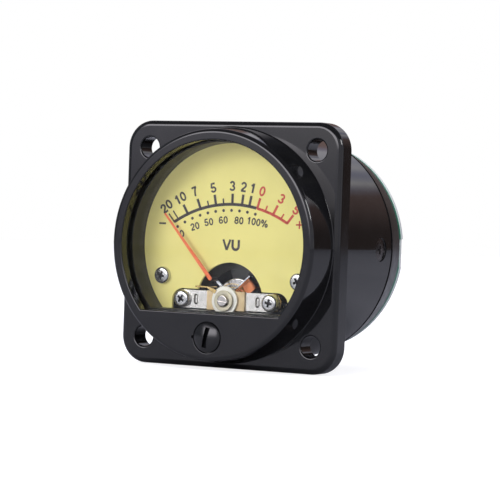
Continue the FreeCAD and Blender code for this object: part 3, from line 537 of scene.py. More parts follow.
black_gloss = moulded("black_gloss", (0.0035, 0.0035, 0.004), (0.005, 0.005, 0.0055), 0.05, 0.11, 700, 1.0e-6)
base_black = moulded("base_black", (0.009, 0.009, 0.010), (0.013, 0.013, 0.014), 0.28, 0.38, 900, 1.5e-6)
surround_black = moulded("surround_black", (0.006, 0.006, 0.005), (0.010, 0.010, 0.008), 0.4, 0.5)
frame_black = moulded("frame_black", (0.010, 0.013, 0.012), (0.015, 0.02, 0.018), 0.3, 0.45, 1200)
white_nylon = moulded("white_nylon", (0.95, 0.90, 0.83), (0.98, 0.94, 0.88), 0.35, 0.5, 1500)
phenolic_sheet = moulded("phenolic_sheet", (0.72, 0.52, 0.29), (0.82, 0.62, 0.38), 0.4, 0.6, 2600, 4e-6)
black_iron = moulded("black_iron", (0.008, 0.009, 0.009), (0.014, 0.015, 0.015), 0.45, 0.6, 1500, 3e-6)
header_cream = moulded("header_cream", (0.66, 0.63, 0.52), (0.74, 0.71, 0.6), 0.4, 0.55, 1500)
red_cover = moulded("red_cover", (0.42, 0.02, 0.015), (0.55, 0.03, 0.02), 0.35, 0.5, 1500)
needle_red = moulded("needle_red", (0.86, 0.155, 0.05), (0.94, 0.205, 0.075), 0.35, 0.45, 3000)
needle_dark = moulded("needle_dark", (0.02, 0.015, 0.012), (0.05, 0.035, 0.025), 0.3, 0.5, 3000)
black_ink = moulded("black_ink", (0.032, 0.025, 0.03), (0.047, 0.037, 0.042), 0.5, 0.6, 4000)
red_ink = moulded("red_ink", (0.56, 0.06, 0.045), (0.66, 0.09, 0.06), 0.5, 0.6, 4000)
ceramic_tan = moulded("ceramic_tan", (0.55, 0.45, 0.28), (0.66, 0.55, 0.36), 0.35, 0.5, 2000, 6e-6)
track_mask = moulded("track_mask", (0.03, 0.19, 0.11), (0.04, 0.23, 0.13), 0.25, 0.4, 1500)
band_black = moulded("band_black", (0.01, 0.01, 0.01), (0.02, 0.02, 0.02), 0.3, 0.4, 2000)
band_brown = moulded("band_brown", (0.14, 0.05, 0.02), (0.18, 0.07, 0.03), 0.35, 0.45, 2000)
band_gold = moulded("band_gold", (0.48, 0.32, 0.08), (0.58, 0.40, 0.12), 0.3, 0.4, 2000)
polished_steel = metal("polished_steel", (0.54, 0.50, 0.47), (0.68, 0.63, 0.58), 0.1, 0.16)
dark_steel = metal("dark_steel", (0.06, 0.055, 0.055), (0.12, 0.11, 0.11), 0.22, 0.36)
bridge_alloy = metal("bridge_alloy", (0.70, 0.67, 0.63), (0.79, 0.755, 0.71), 0.18, 0.25, 5000, (1, 1, 3),
                     6e-7, 0.75)
bright_alloy = metal("bright_alloy", (0.62, 0.64, 0.67), (0.74, 0.76, 0.78), 0.16, 0.28)
warm_brass = metal("warm_brass", (0.58, 0.40, 0.15), (0.74, 0.55, 0.25), 0.16, 0.28)
pale_brass = metal("pale_brass", (0.46, 0.42, 0.31), (0.52, 0.475, 0.355), 0.28, 0.34, 5000, relief=4e-7)
magnet_grey = metal("magnet_grey", (0.46, 0.44, 0.43), (0.58, 0.56, 0.55), 0.2, 0.3, 2500, (1, 12, 1), 2e-6)
tinned = metal("tinned", (0.58, 0.59, 0.58), (0.70, 0.71, 0.70), 0.25, 0.42)
jewel_red = glass_finish("jewel_red", (0.7, 0.08, 0.16), 0.03, 1.76)
lamp_clear = glass_finish("lamp_clear", (0.97, 0.93, 0.78), 0.02, 1.45)
diode_amber = glass_finish("diode_amber", (0.62, 0.2, 0.06), 0.06, 1.5)
chrome_steel = screw_finish()
adjuster_black = adjuster_finish()
board_laminate = board_finish()
dial_paint_and_glow = dial_card_finish()
clear_acrylic = window_finish()
copper_turns = winding_finish()


# Case: flange, bezel and barrel

def flared_hole(r, front, back, flare, x, z):
    """Cutter for a round hole whose front rim is eased."""
    profile = [(0, front - MM), (r + flare, front - MM)]
    profile += quarter(r + flare, front + flare, flare, 272, 180)
    profile += [(r, back), (0, back)]
    return lathed("hole", profile, x, z, 64)


def into_barrel(piece, side):
    """Lay a piece made about the Y axis in the barrel's wall, on the left (-1) or right (1)."""
    return lay(piece, (0, 0, 90 * side), (side * SIDE_SCREW_X, SIDE_SCREW_Y, 0))


def make_flange():
    """Square flange with four bolt holes, hollow where the bezel and barrel pass."""
    corner_r, edge_r, opening_r, flare = 5 * MM, 1.0 * MM, 20.6 * MM, 0.3 * MM
    flange = block("flange", -FLANGE_HALF, FLANGE_HALF, FLANGE_FRONT, 0, -FLANGE_HALF, FLANGE_HALF)
    round_edges(flange, lambda a, b: abs(a.y - b.y) > MM, corner_r, 20)
    round_edges(flange, lambda a, b: max(a.y, b.y) < FLANGE_FRONT + 0.1 * MM, edge_r, 8)
    cut(flange, rod("flange_bore", opening_r, -6 * MM, 2 * MM))
    for x in (-BOLT_OFFSET, BOLT_OFFSET):
        for z in (-BOLT_OFFSET, BOLT_OFFSET):
            cut(flange, flared_hole(BOLT_HOLE_R, FLANGE_FRONT, MM, flare, x, z))
    return flange


def make_panel():
    """The bezel's lower panel, below the aperture's straight edge."""
    panel = rod("panel", 19.4 * MM, BEZEL_FRONT, LIP_BACK, sides=192)
    edit(panel)
    bpy.ops.mesh.bisect(plane_co=(0, 0, APERTURE_CHORD), plane_no=(0, 0, 1), clear_outer=True,
                        use_fill=True)
    leave_edit()
    round_edges(panel, lambda a, b: min(a.z, b.z) > APERTURE_CHORD - 0.01 * MM and
                max(a.y, b.y) < BEZEL_FRONT + 0.01 * MM, 0.22 * MM, 5)
    return panel


def make_case():
    """The front moulding: flange, bezel with its D-shaped aperture, and barrel."""
    lip, edge, root = 0.22 * MM, 0.75 * MM, 0.2 * MM
    seam_r = 20.95 * MM
    # The bezel's side leans out by 0.65 over a depth of 6.6.
    lean = math.degrees(math.atan2(0.65, 6.6))
    profile = quarter(APERTURE_R + lip, BEZEL_FRONT + lip, lip, 180, 270, 5)
    profile += quarter(BEZEL_R - edge * 0.92, BEZEL_FRONT + edge, edge, -90, -lean, 10)
    profile += [(BEZEL_ROOT_R, FLANGE_FRONT - root)]
    profile += quarter(BEZEL_ROOT_R + root, FLANGE_FRONT - root, root, 180, 105, 4)[1:]
    profile += [(21.7 * MM, FLANGE_FRONT + 0.1 * MM), (BARREL_R, FLANGE_FRONT + 0.6 * MM)]
    profile += [(BARREL_R, BARREL_END - 0.38 * MM), (seam_r, BARREL_END - 0.36 * MM), (seam_r, BARREL_END)]
    profile += [(BORE_R, BARREL_END), (BORE_R, LIP_BACK), (APERTURE_R, LIP_BACK), profile[0]]
    case = lathed("case_moulding", profile, steps=192)
    combine(case, make_flange(), "UNION")
    combine(case, make_panel(), "UNION")

    seat = BEZEL_FRONT + 1.0 * MM
    seat_r, neck_r, flare, mark_half = 2.83 * MM, 1.55 * MM, 0.13 * MM, 0.25 * MM
    cut(case, flared_hole(seat_r, BEZEL_FRONT, seat, flare, 0, ADJUSTER_Z))
    cut(case, rod("neck_hole", neck_r, seat - MM, LIP_BACK + MM, 0, ADJUSTER_Z))
    cut(case, block("mark", -3.2 * MM, -2.75 * MM, BEZEL_FRONT - MM, BEZEL_FRONT + 0.4 * MM,
                    ADJUSTER_Z - mark_half, ADJUSTER_Z + mark_half))
    sink_r, hole_r = 2.22 * MM, 1.27 * MM
    sink = [(0, -2 * MM), (sink_r, -2 * MM), (sink_r, 0), (hole_r, MM), (hole_r, 5 * MM), (0, 5 * MM)]
    for side in (-1, 1):
        cut(case, into_barrel(lathed("sink", sink, steps=64), side))
    place(case, "root", "black_case", black_gloss, "front_case")


# Zero adjuster

def from_slot(p):
    """Distances of a point across and along from the middle of the adjuster's slot."""
    x, z = p.x, p.z - ADJUSTER_Z
    a = math.radians(SLOT_TURN)
    return abs(x * math.cos(a) - z * math.sin(a)), abs(x * math.sin(a) + z * math.cos(a))


def in_slot(p):
    """True on the slot's floor, walls and rim."""
    across, along = from_slot(p)
    return across < SLOT_HALF_W + 0.01 * MM and along < SLOT_HALF_L + 0.01 * MM


def on_slot_rim(p):
    """True on the slot's rim at the dome's surface."""
    across, along = from_slot(p)
    at_wall = abs(across - SLOT_HALF_W) < 0.01 * MM or abs(along - SLOT_HALF_L) < 0.01 * MM
    return at_wall and in_slot(p) and p.y < BEZEL_FRONT - 0.25 * MM


def mark_recess_shade(piece, test):
    """Mark the faces that pass a test, for a finish that paints shade into them."""
    recess = piece.data.attributes.new("recess", "FLOAT", "FACE")
    for face in piece.data.polygons:
        recess.data[face.index].value = float(test(face))


def make_adjuster():
    """Domed head with a slot, neck, disc and pin."""
    dome, r, edge = 0.65 * MM, 2.71 * MM, 0.18 * MM
    neck_r, disc_r = 1.5 * MM, 1.9 * MM
    top = BEZEL_FRONT - dome
    seat = BEZEL_FRONT + 0.95 * MM
    disc_front, disc_back = LIP_BACK + 0.05 * MM, LIP_BACK + 0.75 * MM
    ball = (r * r + dome * dome) / (2 * dome)
    profile = [(0, top)]
    for i in range(1, 13):
        a = math.asin(r / ball) * i / 12 * 0.93
        profile.append((ball * math.sin(a), top + ball - ball * math.cos(a)))
    profile += quarter(r - edge, BEZEL_FRONT + 0.12 * MM, edge, -52, 0, 5)
    profile += [(r, seat), (neck_r, seat), (neck_r, disc_front), (disc_r, disc_front)]
    profile += [(disc_r, disc_back), (0, disc_back)]
    head = lathed("adjuster_head", profile, 0, ADJUSTER_Z)
    slot = block("slot", -SLOT_HALF_W, SLOT_HALF_W, BEZEL_FRONT - 3 * MM, BEZEL_FRONT + 0.05 * MM,
                 -SLOT_HALF_L, SLOT_HALF_L)
    round_edges(slot, lambda a, b: abs(a.y - b.y) > MM, 0.12 * MM, 3)
    cut(head, lay(slot, (0, SLOT_TURN, 0), (0, 0, ADJUSTER_Z)))
    round_edges(head, lambda a, b: on_slot_rim(a) and on_slot_rim(b), 0.05 * MM, 3)
    mark_recess_shade(head, lambda face: in_slot(face.center))
    pin = rod("adjuster_pin", 0.4 * MM, LIP_BACK + 0.7 * MM, -4.05 * MM, 0, ADJUSTER_Z + 0.6 * MM, 32)
    place(joined([head, pin], "adjuster_head"), "zero_adjuster", "black_case", adjuster_black,
          "zero_adjuster")


# Screws

def cross_recess(screw, top, half, w):
    """Cut a tapering cross into a head, and mark its walls for painted shade."""
    for degrees in (0, 90):
        bar = block("bar", -half, half, top - MM, top + 0.7 * MM, -w, w)
        taper(bar, lambda a, b: min(a.y, b.y) > top + 0.6 * MM, (0.5, 1, 0.6))
        cut(screw, lay(bar, (0, degrees, 0)))

    def in_cross(face):
        x, y, z = face.center
        steep = face.normal.y > -0.8 or y > top + 0.4 * MM
        return math.hypot(x, z) < half * 1.02 and steep and y < top + MM

    mark_recess_shade(screw, in_cross)
    return screw


def pan_screw(name, shank_r, shank):
    """Cross-recess pan screw with its head towards -Y and its seat at Y = 0."""
    r, height, chamfer = 1.6 * MM, 0.95 * MM, 0.3 * MM
    ease = height * 0.55
    profile = [(0, -height), (r * 0.55, -height + 0.02 * MM)]
    profile += quarter(r - ease, -height + ease + 0.03 * MM, ease, -80, 0, 7)
    profile += [(r, 0), (shank_r, 0), (shank_r, shank - chamfer), (shank_r - chamfer, shank), (0, shank)]
    return cross_recess(lathed(name, profile, steps=64), -height, r * 0.66, r * 0.19)


def screw_set(name, node, places, seat_y, shank_r, shank, rear=False, turns=(20, 65, 40)):
    """One modelled screw copied to each place, each turned its own way."""
    first = pan_screw(name, shank_r, shank)
    copies = []
    for (x, z), degrees in zip(places, turns):
        one = turned(copy_of(first, name + "_copy"), degrees)
        if rear:
            turned(one, 180, "Z")
        copies.append(moved(one, x, seat_y, z))
    bpy.data.objects.remove(first)
    place(joined(copies, name), "root", "bright_steel", chrome_steel, node)


def make_pan_screws():
    """Screws of the dial, the bridge and the circuit board."""
    bridge_front, ring_r = -3.75 * MM, 15.5 * MM
    ring = [math.radians(degrees) for degrees in (30, 150, 270)]
    dial_places = [(x * MM, -6.1 * MM) for x in (-14.25, 14.25)]
    bridge_places = [(x * MM, AXIS_Z) for x in (-9.2, 9.2)]
    board_places = [(ring_r * math.cos(a), ring_r * math.sin(a)) for a in ring]
    screw_set("dial_screw_pair", "dial_screws", dial_places, DIAL_FRONT, MM, 6.9 * MM)
    screw_set("bridge_screw_pair", "bridge_screws", bridge_places, bridge_front, MM, 5.5 * MM, turns=(35, 10))
    screw_set("board_screw_trio", "board_screws", board_places, BOARD_BACK, 0.85 * MM, 4.3 * MM, rear=True)


def make_side_screws():
    """Countersunk screws in the barrel's wall."""
    head_r, shank_r, end = 2.2 * MM, 1.25 * MM, 4.3 * MM
    profile = [(0, 0), (2.0 * MM, 0), (head_r, 0.08 * MM), (shank_r, MM), (shank_r, end - 0.3 * MM),
               (1.0 * MM, end), (0, end)]
    screws = []
    for side in (-1, 1):
        screw = cross_recess(lathed("side_screw", profile, steps=64), 0, 1.15 * MM, 0.25 * MM)
        screws.append(into_barrel(screw, side))
    place(joined(screws, "barrel_screws"), "root", "bright_steel", dark_steel, "side_screws")


# Dial print

ARC_Z = -15.4 * MM
ARC_R = 22.8 * MM
DOT_R = 21.7 * MM
INK_T = 0.02 * MM
INK_FRONT = DIAL_FRONT - INK_T
NUMBER_H = 1.76 * MM
PERCENT_H = 1.3 * MM
UNIT_H = 1.95 * MM


def reach_to(circle_r, degrees):
    """Distance from the needle's axis to a circle about the scale's centre."""
    a = math.radians(degrees)
    rise = AXIS_Z - ARC_Z
    return -rise * math.cos(a) + math.sqrt((rise * math.cos(a)) ** 2 + circle_r ** 2 - rise ** 2)


def at_angle(r, degrees):
    """Place at a distance from the needle's axis."""
    a = math.radians(degrees)
    return r * math.sin(a), AXIS_Z + r * math.cos(a)


def tick(degrees, length, width):
    """Straight mark from the arc outwards, pointing at the needle's axis."""
    start = AXIS_Z + reach_to(ARC_R, degrees) - 0.1 * MM
    mark = block("tick", -width / 2, width / 2, INK_FRONT, DIAL_FRONT, start, start + length)
    return turned_about_needle(mark, degrees)


def arc_band(start, end, width):
    """Thin band along the scale's arc between two needle angles."""
    turns = []
    for degrees in (start, end):
        x, z = at_angle(reach_to(ARC_R, degrees), degrees)
        turns.append(math.atan2(x, z - ARC_Z))
    ends = [(r * math.sin(turns[0]), INK_FRONT, ARC_Z + r * math.cos(turns[0]))
            for r in (ARC_R - width / 2, ARC_R + width / 2)]
    band = traced("band", ends)
    bpy.ops.mesh.spin(steps=72, angle=turns[0] - turns[1], center=(0, 0, ARC_Z), axis=(0, 1, 0))
    bpy.ops.mesh.select_all(action="SELECT")
    bpy.ops.mesh.remove_doubles(threshold=1e-7)
    bpy.ops.mesh.extrude_region_move(TRANSFORM_OT_translate={"value": (0, INK_T, 0)})
    bpy.ops.mesh.select_all(action="SELECT")
    bpy.ops.mesh.normals_make_consistent(inside=False)
    leave_edit()
    return band


# Characters as pen strokes in a cell of height 1: the cell's width, then strokes. A stroke is a list of
# points (x, z) and arcs (centre x, centre z, radius x, radius z, first angle, last angle). PEN is its width.
PEN = 0.23
GLYPHS = {
    "0": (0.76, [[(0.38, 0.5, 0.245, 0.425, 0, 360)]]),
    "1": (0.72, [[(0.15, 0.71), (0.27, 0.78), (0.37, 0.9)], [(0.405, 1.0), (0.405, 0.0)]]),
    "2": (0.76, [[(0.37, 0.675, 0.235, 0.25, 172, -32), (0.44, 0.41), (0.24, 0.23), (0.13, 0.09)],
                 [(0.09, 0.075), (0.65, 0.075)]]),
    "3": (0.76, [[(0.37, 0.71, 0.215, 0.215, 168, -90)], [(0.37, 0.285, 0.25, 0.21, 90, -168)]]),
    "5": (0.76, [[(0.6, 0.925), (0.2, 0.925)], [(0.22, 0.97), (0.145, 0.46)],
                 [(0.37, 0.31, 0.25, 0.235, 144, -166)]]),
    "6": (0.76, [[(0.385, 0.525, 0.245, 0.4, 38, 180), (0.14, 0.3)], [(0.385, 0.305, 0.235, 0.23, 0, 360)]]),
    "7": (0.76, [[(0.1, 0.925), (0.66, 0.925)], [(0.61, 0.93), (0.45, 0.66), (0.34, 0.34), (0.29, 0.0)]]),
    "8": (0.76, [[(0.38, 0.715, 0.205, 0.21, 0, 360)], [(0.38, 0.29, 0.245, 0.215, 0, 360)]]),
    "%": (1.2, [[(0.27, 0.74, 0.14, 0.2, 0, 360)], [(0.93, 0.26, 0.14, 0.2, 0, 360)],
                [(0.83, 1.0), (0.37, 0.0)]]),
    "V": (0.94, [[(0.09, 1.0), (0.47, 0.02)], [(0.85, 1.0), (0.47, 0.02)]]),
    "U": (0.98, [[(0.16, 1.0), (0.49, 0.4, 0.33, 0.325, 180, 360), (0.82, 1.0)]]),
}


def pen_points(stroke):
    """A stroke's arcs turned into points, one every 12 degrees."""
    points = []
    for item in stroke:
        if len(item) == 2:
            points.append(item)
            continue
        cx, cz, rx, rz, first, last = item
        count = max(2, round(abs(last - first) / 12))
        for i in range(count + 1):
            a = math.radians(first + (last - first) * i / count)
            points.append((cx + rx * math.cos(a), cz + rz * math.sin(a)))
    return points


def pen_line(points, width):
    """Round tube through points in the XZ plane."""
    traced("pen_line", [(x, 0, z) for x, z in points])
    leave_edit()
    bpy.ops.object.convert(target="CURVE")
    curve = bpy.context.object.data
    curve.bevel_depth = width / 2
    curve.bevel_resolution = 1
    curve.use_fill_caps = True
    bpy.ops.object.convert(target="MESH")
    return bpy.context.object


def letters(text, height, x, z, degrees=0.0, pen=PEN):
    """Printed characters of a given height, centred at x, z and turned clockwise."""
    lines = []
    start = 0.0
    for character in text:
        width, strokes = GLYPHS[character]
        for stroke in strokes:
            lines.append(pen_line([(start + a, b) for a, b in pen_points(stroke)], pen))
        start += width
    word = moved(joined(lines, "letters"), -start / 2, 0, -0.5)
    word.data.transform(Matrix.Diagonal((height, INK_T / pen, height, 1)))
    return moved(turned(word, degrees), x, DIAL_FRONT - INK_T / 2, z)


def bar_sign(x, z, width, upright=False):
    """Minus sign, or a plus sign with its upright bar."""
    half, side = 0.725 * MM, width / 2
    parts = [block("sign", -half, half, INK_FRONT, DIAL_FRONT, -side, side)]
    if upright:
        parts.append(block("sign", -side, side, INK_FRONT, DIAL_FRONT, -half, half))
    return moved(joined(parts, "sign"), x, 0, z)


def make_print():
    """The scale: arcs, ticks, numbers, signs and dots."""
    black = [arc_band(SCALE_START, 16.4, 0.55 * MM)]
    red = [arc_band(SCALE_ZERO, SCALE_END, 0.5 * MM)]
    ticks = (
        (black, 2.05, 0.28, (SCALE_START, -38.2)),
        (black, 2.05, 0.5, (-31.2, -22.1, -11.3, -0.1, 6.5, 11.5)),
        (black, 1.2, 0.3, (-16.4, -6.1)),
        (red, 2.05, 0.46, (SCALE_ZERO, 28.1, SCALE_END)),
        (red, 1.2, 0.3, (22.6, 33.7)),
    )
    for ink, length, width, turns in ticks:
        ink += [tick(degrees, length * MM, width * MM) for degrees in turns]
    upper = (
        (black, "20", 21.9, -40.0), (black, "10", 21.5, -31.2), (black, "7", 21.3, -22.3),
        (black, "5", 20.9, -11.5), (black, "3", 20.9, -0.4), (black, "2", 20.9, 6.2),
        (black, "1", 21.0, 11.4), (red, "0", 21.0, 17.0), (red, "3", 21.4, 28.3), (red, "5", 21.5, 38.1),
    )
    for ink, text, r, degrees in upper:
        ink.append(letters(text, NUMBER_H, *at_angle(r * MM, degrees), degrees))
    lower = (("0", -10.54, 1.73, -25), ("20", -7.8, 3.15, -17), ("50", -4.89, 4.03, -10),
             ("60", -1.83, 4.5, -4), ("80", 1.47, 4.51, 3), ("100%", 5.34, 4.31, 8))
    for text, x, z, degrees in lower:
        black.append(letters(text, PERCENT_H, x * MM, z * MM, degrees))
    black.append(letters("VU", UNIT_H, 0.04 * MM, 0, pen=0.25))
    black.append(bar_sign(-14.8 * MM, 3.49 * MM, 0.32 * MM))
    red.append(bar_sign(13.98 * MM, 4.11 * MM, 0.28 * MM, upright=True))
    first_dot, dot_step, dot_r = -41.3, 5.82, 0.28 * MM
    for i in range(11):
        degrees = first_dot + dot_step * i
        x, z = at_angle(reach_to(DOT_R, degrees), degrees)
        black.append(rod("dot", dot_r, INK_FRONT, DIAL_FRONT, x, z, 24))
    place(joined(black, "black_print"), "root", "dial_card", black_ink)
    place(joined(red, "red_print"), "root", "dial_card", red_ink)


# Needle, bush and bridge

def make_needle():
    """Tapered blade, with dark cement over the crank that carries it."""
    front, back = -4.2 * MM, -3.95 * MM
    foot = AXIS_Z + 4.9 * MM
    tip = AXIS_Z + 20.6 * MM
    half_w, cement_w = 0.375 * MM, 0.36 * MM
    blade = block("needle_blade", -half_w, half_w, front, back, foot, tip)
    taper(blade, lambda a, b: min(a.z, b.z) > tip - 0.1 * MM, (0.5, 0.6, 1))
    round_edges(blade, lambda a, b: max(a.z, b.z) < foot + 0.1 * MM and abs(a.y - b.y) > 0.1 * MM,
                0.22 * MM, 3)
    cement = block("needle_cement", -cement_w, cement_w, back + 0.02 * MM, -2.0 * MM, foot - 0.15 * MM,
                   foot + 0.45 * MM)
    ease_corners(blade, 0.06 * MM, 2)
    ease_corners(cement, 0.14 * MM, 3)
    for piece in (blade, cement):
        turned_about_needle(piece, SCALE_START)
    place(blade, "needle_system", "red_needle", needle_red, "needle")
    place(cement, "needle_system", "red_needle", needle_dark)


def make_bush_parts():
    """Round lock nut and slotted jewel screw at the needle's axis."""
    back, front, ease = -4.6 * MM, -5.0 * MM, 0.1 * MM
    outer_r, thread_r = 1.9 * MM, 1.06 * MM
    nut = [(thread_r, back), (thread_r, front + 0.08 * MM), (1.14 * MM, front)]
    nut += quarter(outer_r - ease, front + ease, ease, -90, 0, 4)
    nut += [(outer_r, back), nut[0]]
    place(lathed("bush_nut", nut, 0, AXIS_Z), "root", "brass_metal", pale_brass, "lock_nut")

    front, back, ease = -5.5 * MM, -2.6 * MM, 0.16 * MM
    outer_r, jewel_r = 1.05 * MM, 0.62 * MM
    screw = [(0, front)] + quarter(outer_r - ease, front + ease, ease, -90, 0, 5)
    screw += [(outer_r, back), (jewel_r, back), (jewel_r, back - 0.3 * MM), (0, back - 0.3 * MM)]
    jewel_screw = lathed("jewel_screw", screw, 0, AXIS_Z)
    slot = block("slot", -2 * MM, 2 * MM, front - MM, front + 0.35 * MM, -0.14 * MM, 0.14 * MM)
    cut(jewel_screw, lay(slot, (0, 4, 0), (0, 0, AXIS_Z)))
    place(jewel_screw, "root", "bright_steel", polished_steel, "front_jewel_screw")


def make_bridge():
    """Bridge strip with rounded ends and two stamped ovals."""
    strip = softened("front_bridge", "bridge_strip", 0.12 * MM, 3)
    front, back, half_w, half_h = -3.66 * MM, -3.0 * MM, 0.24 * MM, 0.74 * MM
    for x in (-6.45, 6.45):
        oval = block("oval", -half_w, half_w, front, back, -half_h, half_h)
        round_edges(oval, lambda a, b: abs(a.y - b.y) > 0.3 * MM, 0.23 * MM, 6)
        round_edges(oval, lambda a, b: max(a.y, b.y) < front + 0.01 * MM, 0.1 * MM, 3)
        strip = joined([strip, moved(oval, x * MM, 0, AXIS_Z)], "bridge_strip")
    place(strip, "root", "bridge_metal", bridge_alloy, "front_bridge")


# CAD shapes

def make_eased():
    """Small metal and plastic pieces: the CAD shapes with their corners eased."""
    rows = (
        ("bridge_insulator", "insulator_sheet", 0.03, "phenolic", phenolic_sheet, "root"),
        ("zero_lever", "lever_ring", 0.06, "white_plastic", white_nylon, "zero_lever"),
        ("jewel_bush", "bush", 0.04, "brass_metal", pale_brass, "root"),
        ("pointer_carrier", "carrier_arm", 0.03, "light_alloy", bright_alloy, "needle_system"),
        ("tail_weight", "tail_coil", 0.06, "brass_metal", warm_brass, "needle_system"),
        ("spring_arm", "spring_tag", 0.05, "brass_metal", warm_brass, "zero_lever"),
        ("front_posts", "brass_posts", 0.08, "brass_metal", warm_brass, "root"),
        ("base", "base_moulding", 0.12, "base_plastic", base_black, "root"),
        ("circuit_board", "rear_board", 0.06, "board_laminate", board_laminate, "root"),
        ("solder_lugs", "stud_lugs", 0.06, "tinned_metal", tinned, "root"),
        ("terminal_nuts", "stud_nuts", 0.12, "brass_metal", pale_brass, "root"),
        ("header_body", "header_strip", 0.1, "header_plastic", header_cream, "root"),
        ("header_pins", "header_legs", 0.08, "tinned_metal", tinned, "root"),
        ("dial_surround", "light_surround", 0.08, "ivory_surround", surround_black, "root"),
        ("core_magnet", "magnet_core", 0.05, "magnet_metal", magnet_grey, "root"),
        ("coil_winding", "copper_coil", 0.05, "copper_wire", copper_turns, "needle_system"),
    )
    for node, name, width, slot, finish, body in rows:
        place(softened(node, name, width * MM), body, slot, finish, node)


def dress_cad():
    """Finishes of the CAD pieces that stay as they are."""
    dress(dial_paint_and_glow, "dial_plate")
    dress(clear_acrylic, "window")
    dress(phenolic_sheet, "rear_insulator")
    dress(frame_black, "movement_frame")
    dress(black_iron, "yoke_ring", "core_webs")
    dress(bright_alloy, "coil_former")
    dress(bridge_alloy, "rear_bridge")
    dress(chrome_steel, "rear_bridge_screws", "standoff_screws", "rear_jewel_screw", "front_pivot",
          "rear_pivot")
    dress(warm_brass, "rear_posts", "rear_spring_arm", "front_hairspring", "rear_hairspring", "standoffs",
          "rear_lock_nut")
    dress(tinned, "bridge_tags", "lamp_leads")
    dress(jewel_red, "front_jewel", "rear_jewel")
    dress(lamp_clear, "lamps")
    dress(red_cover, "lead_wires")


# Parts on the circuit board

DIODE_ROWS = (-6.0, -2.4, 1.2, 4.8)
RESISTOR_ROW = 9.8


def along_x(piece, y, z):
    """Lay a piece made about the Y axis along X."""
    return lay(piece, (0, 0, 90), (0, y, z))


def bent_wire(span, y, z):
    """Wire through a component, its ends bent down into the board."""
    half = span / 2
    bend = 0.4 * MM
    points = [(-half, BOARD_FRONT - 0.5 * MM - y), (-half, -bend), (-half + 0.3 * bend, -0.3 * bend),
              (-half + bend, 0)]
    points += [(-x, depth) for x, depth in reversed(points)]
    return moved(turned(pen_line(points, 0.54 * MM), -90, "X"), 0, y, z)


def make_axial(name, node, slot, finish, rows, r, length, span, bands):
    """Wire-ended components lying on the board, sizes in mm, with bands of (x, width, paint)."""
    r, end, ease = r * MM, length / 2 * MM, 0.3 * MM
    y = BOARD_BACK + r + 0.1 * MM
    rows = [z * MM for z in rows]
    profile = [(0, -end)] + quarter(r - ease, ease - end, ease, -90, 0, 5)
    profile += quarter(r - ease, end - ease, ease, 0, 90, 5) + [(0, end)]
    bodies = [along_x(lathed(name, profile, steps=48), y, z) for z in rows]
    wires = [bent_wire(span * MM, y, z) for z in rows]
    place(joined(bodies, name), "root", slot, finish, node)
    place(joined(wires, name + "_wires"), "root", "tinned_metal", tinned)
    for i, (x, width, paint) in enumerate(bands):
        start, stop = (x - width / 2) * MM, (x + width / 2) * MM
        rings = [along_x(rod("ring", r + 0.015 * MM, start, stop, sides=48), y, z) for z in rows]
        place(joined(rings, f"{name}_band_{i + 1}"), "root", slot, paint)


def make_studs():
    """Terminal studs with a round head inside and thread turns outside."""
    head_y, floor_y, thread_y, end_y = 21.7 * MM, 22.7 * MM, 28.6 * MM, 34.9 * MM
    head_r, crest, root, pitch = 2.6 * MM, 1.5 * MM, 1.28 * MM, 0.5 * MM
    ease = 0.2 * MM
    profile = [(0, head_y), (head_r - ease, head_y), (head_r, head_y + ease), (head_r, floor_y)]
    profile += [(crest, floor_y), (crest, thread_y)]
    for i in range(12):
        start = thread_y + pitch * i
        for r, part in ((root, 0.45), (root, 0.55), (crest, 0.95), (crest, 1)):
            profile.append((r, start + pitch * part))
    profile += [(root, end_y), (0, end_y)]
    studs = [lathed("stud", profile, x, 0, 48) for x in (-10 * MM, 10 * MM)]
    place(joined(studs, "stud_pair"), "root", "brass_metal", warm_brass, "terminal_studs")


def make_solder():
    """Solder cones where the component wires enter the board."""
    spots = [(x, z) for z in DIODE_ROWS for x in (-3.8, 3.8)]
    spots += [(x, RESISTOR_ROW) for x in (-5.1, 5.1)]
    spots += [(lamp + lead, 6.0) for lamp in (-6, 6) for lead in (-1.27, 1.27)]
    shape = ((0, -0.02), (0.85, -0.02), (0.8, 0.08), (0.5, 0.22), (0.33, 0.5), (0, 0.55))
    profile = [(r * MM, BOARD_BACK + rise * MM) for r, rise in shape]
    cones = [lathed("cone", profile, x * MM, z * MM, 32) for x, z in spots]
    place(joined(cones, "solder_cones"), "root", "tinned_metal", tinned)


def make_tracks():
    """Copper tracks under the board's green mask, as (x0, x1, z0, z1) in mm."""
    rows = (
        (-4.2, -3.4, -6.0, -2.4), (3.4, 4.2, 1.2, 4.8), (-4.2, -3.4, 1.2, 4.8), (3.4, 4.2, -6.0, -2.4),
        (-9.5, -3.4, -2.8, -2.0), (3.4, 9.5, 0.8, 1.6), (-4.2, -3.4, -9.4, -6.0), (-4.2, -1.0, -9.8, -9.0),
        (3.4, 4.2, -9.4, -6.0), (1.0, 4.2, -9.8, -9.0), (-7.7, -5.1, 9.4, 10.2), (-7.7, -6.9, 6.0, 10.2),
        (5.1, 7.7, 9.4, 10.2), (6.9, 7.7, 6.0, 10.2), (-4.73, 4.73, 6.9, 7.5), (-5.05, -4.4, 6.0, 7.5),
        (4.4, 5.05, 6.0, 7.5),
    )
    tracks = []
    for i, row in enumerate(rows):
        x0, x1, z0, z1 = (value * MM for value in row)
        rise = (0.02 + 0.002 * i) * MM
        tracks.append(block("track", x0, x1, BOARD_BACK - 0.01 * MM, BOARD_BACK + rise, z0, z1))
    place(joined(tracks, "board_tracks"), "root", "board_laminate", track_mask)


# Studio

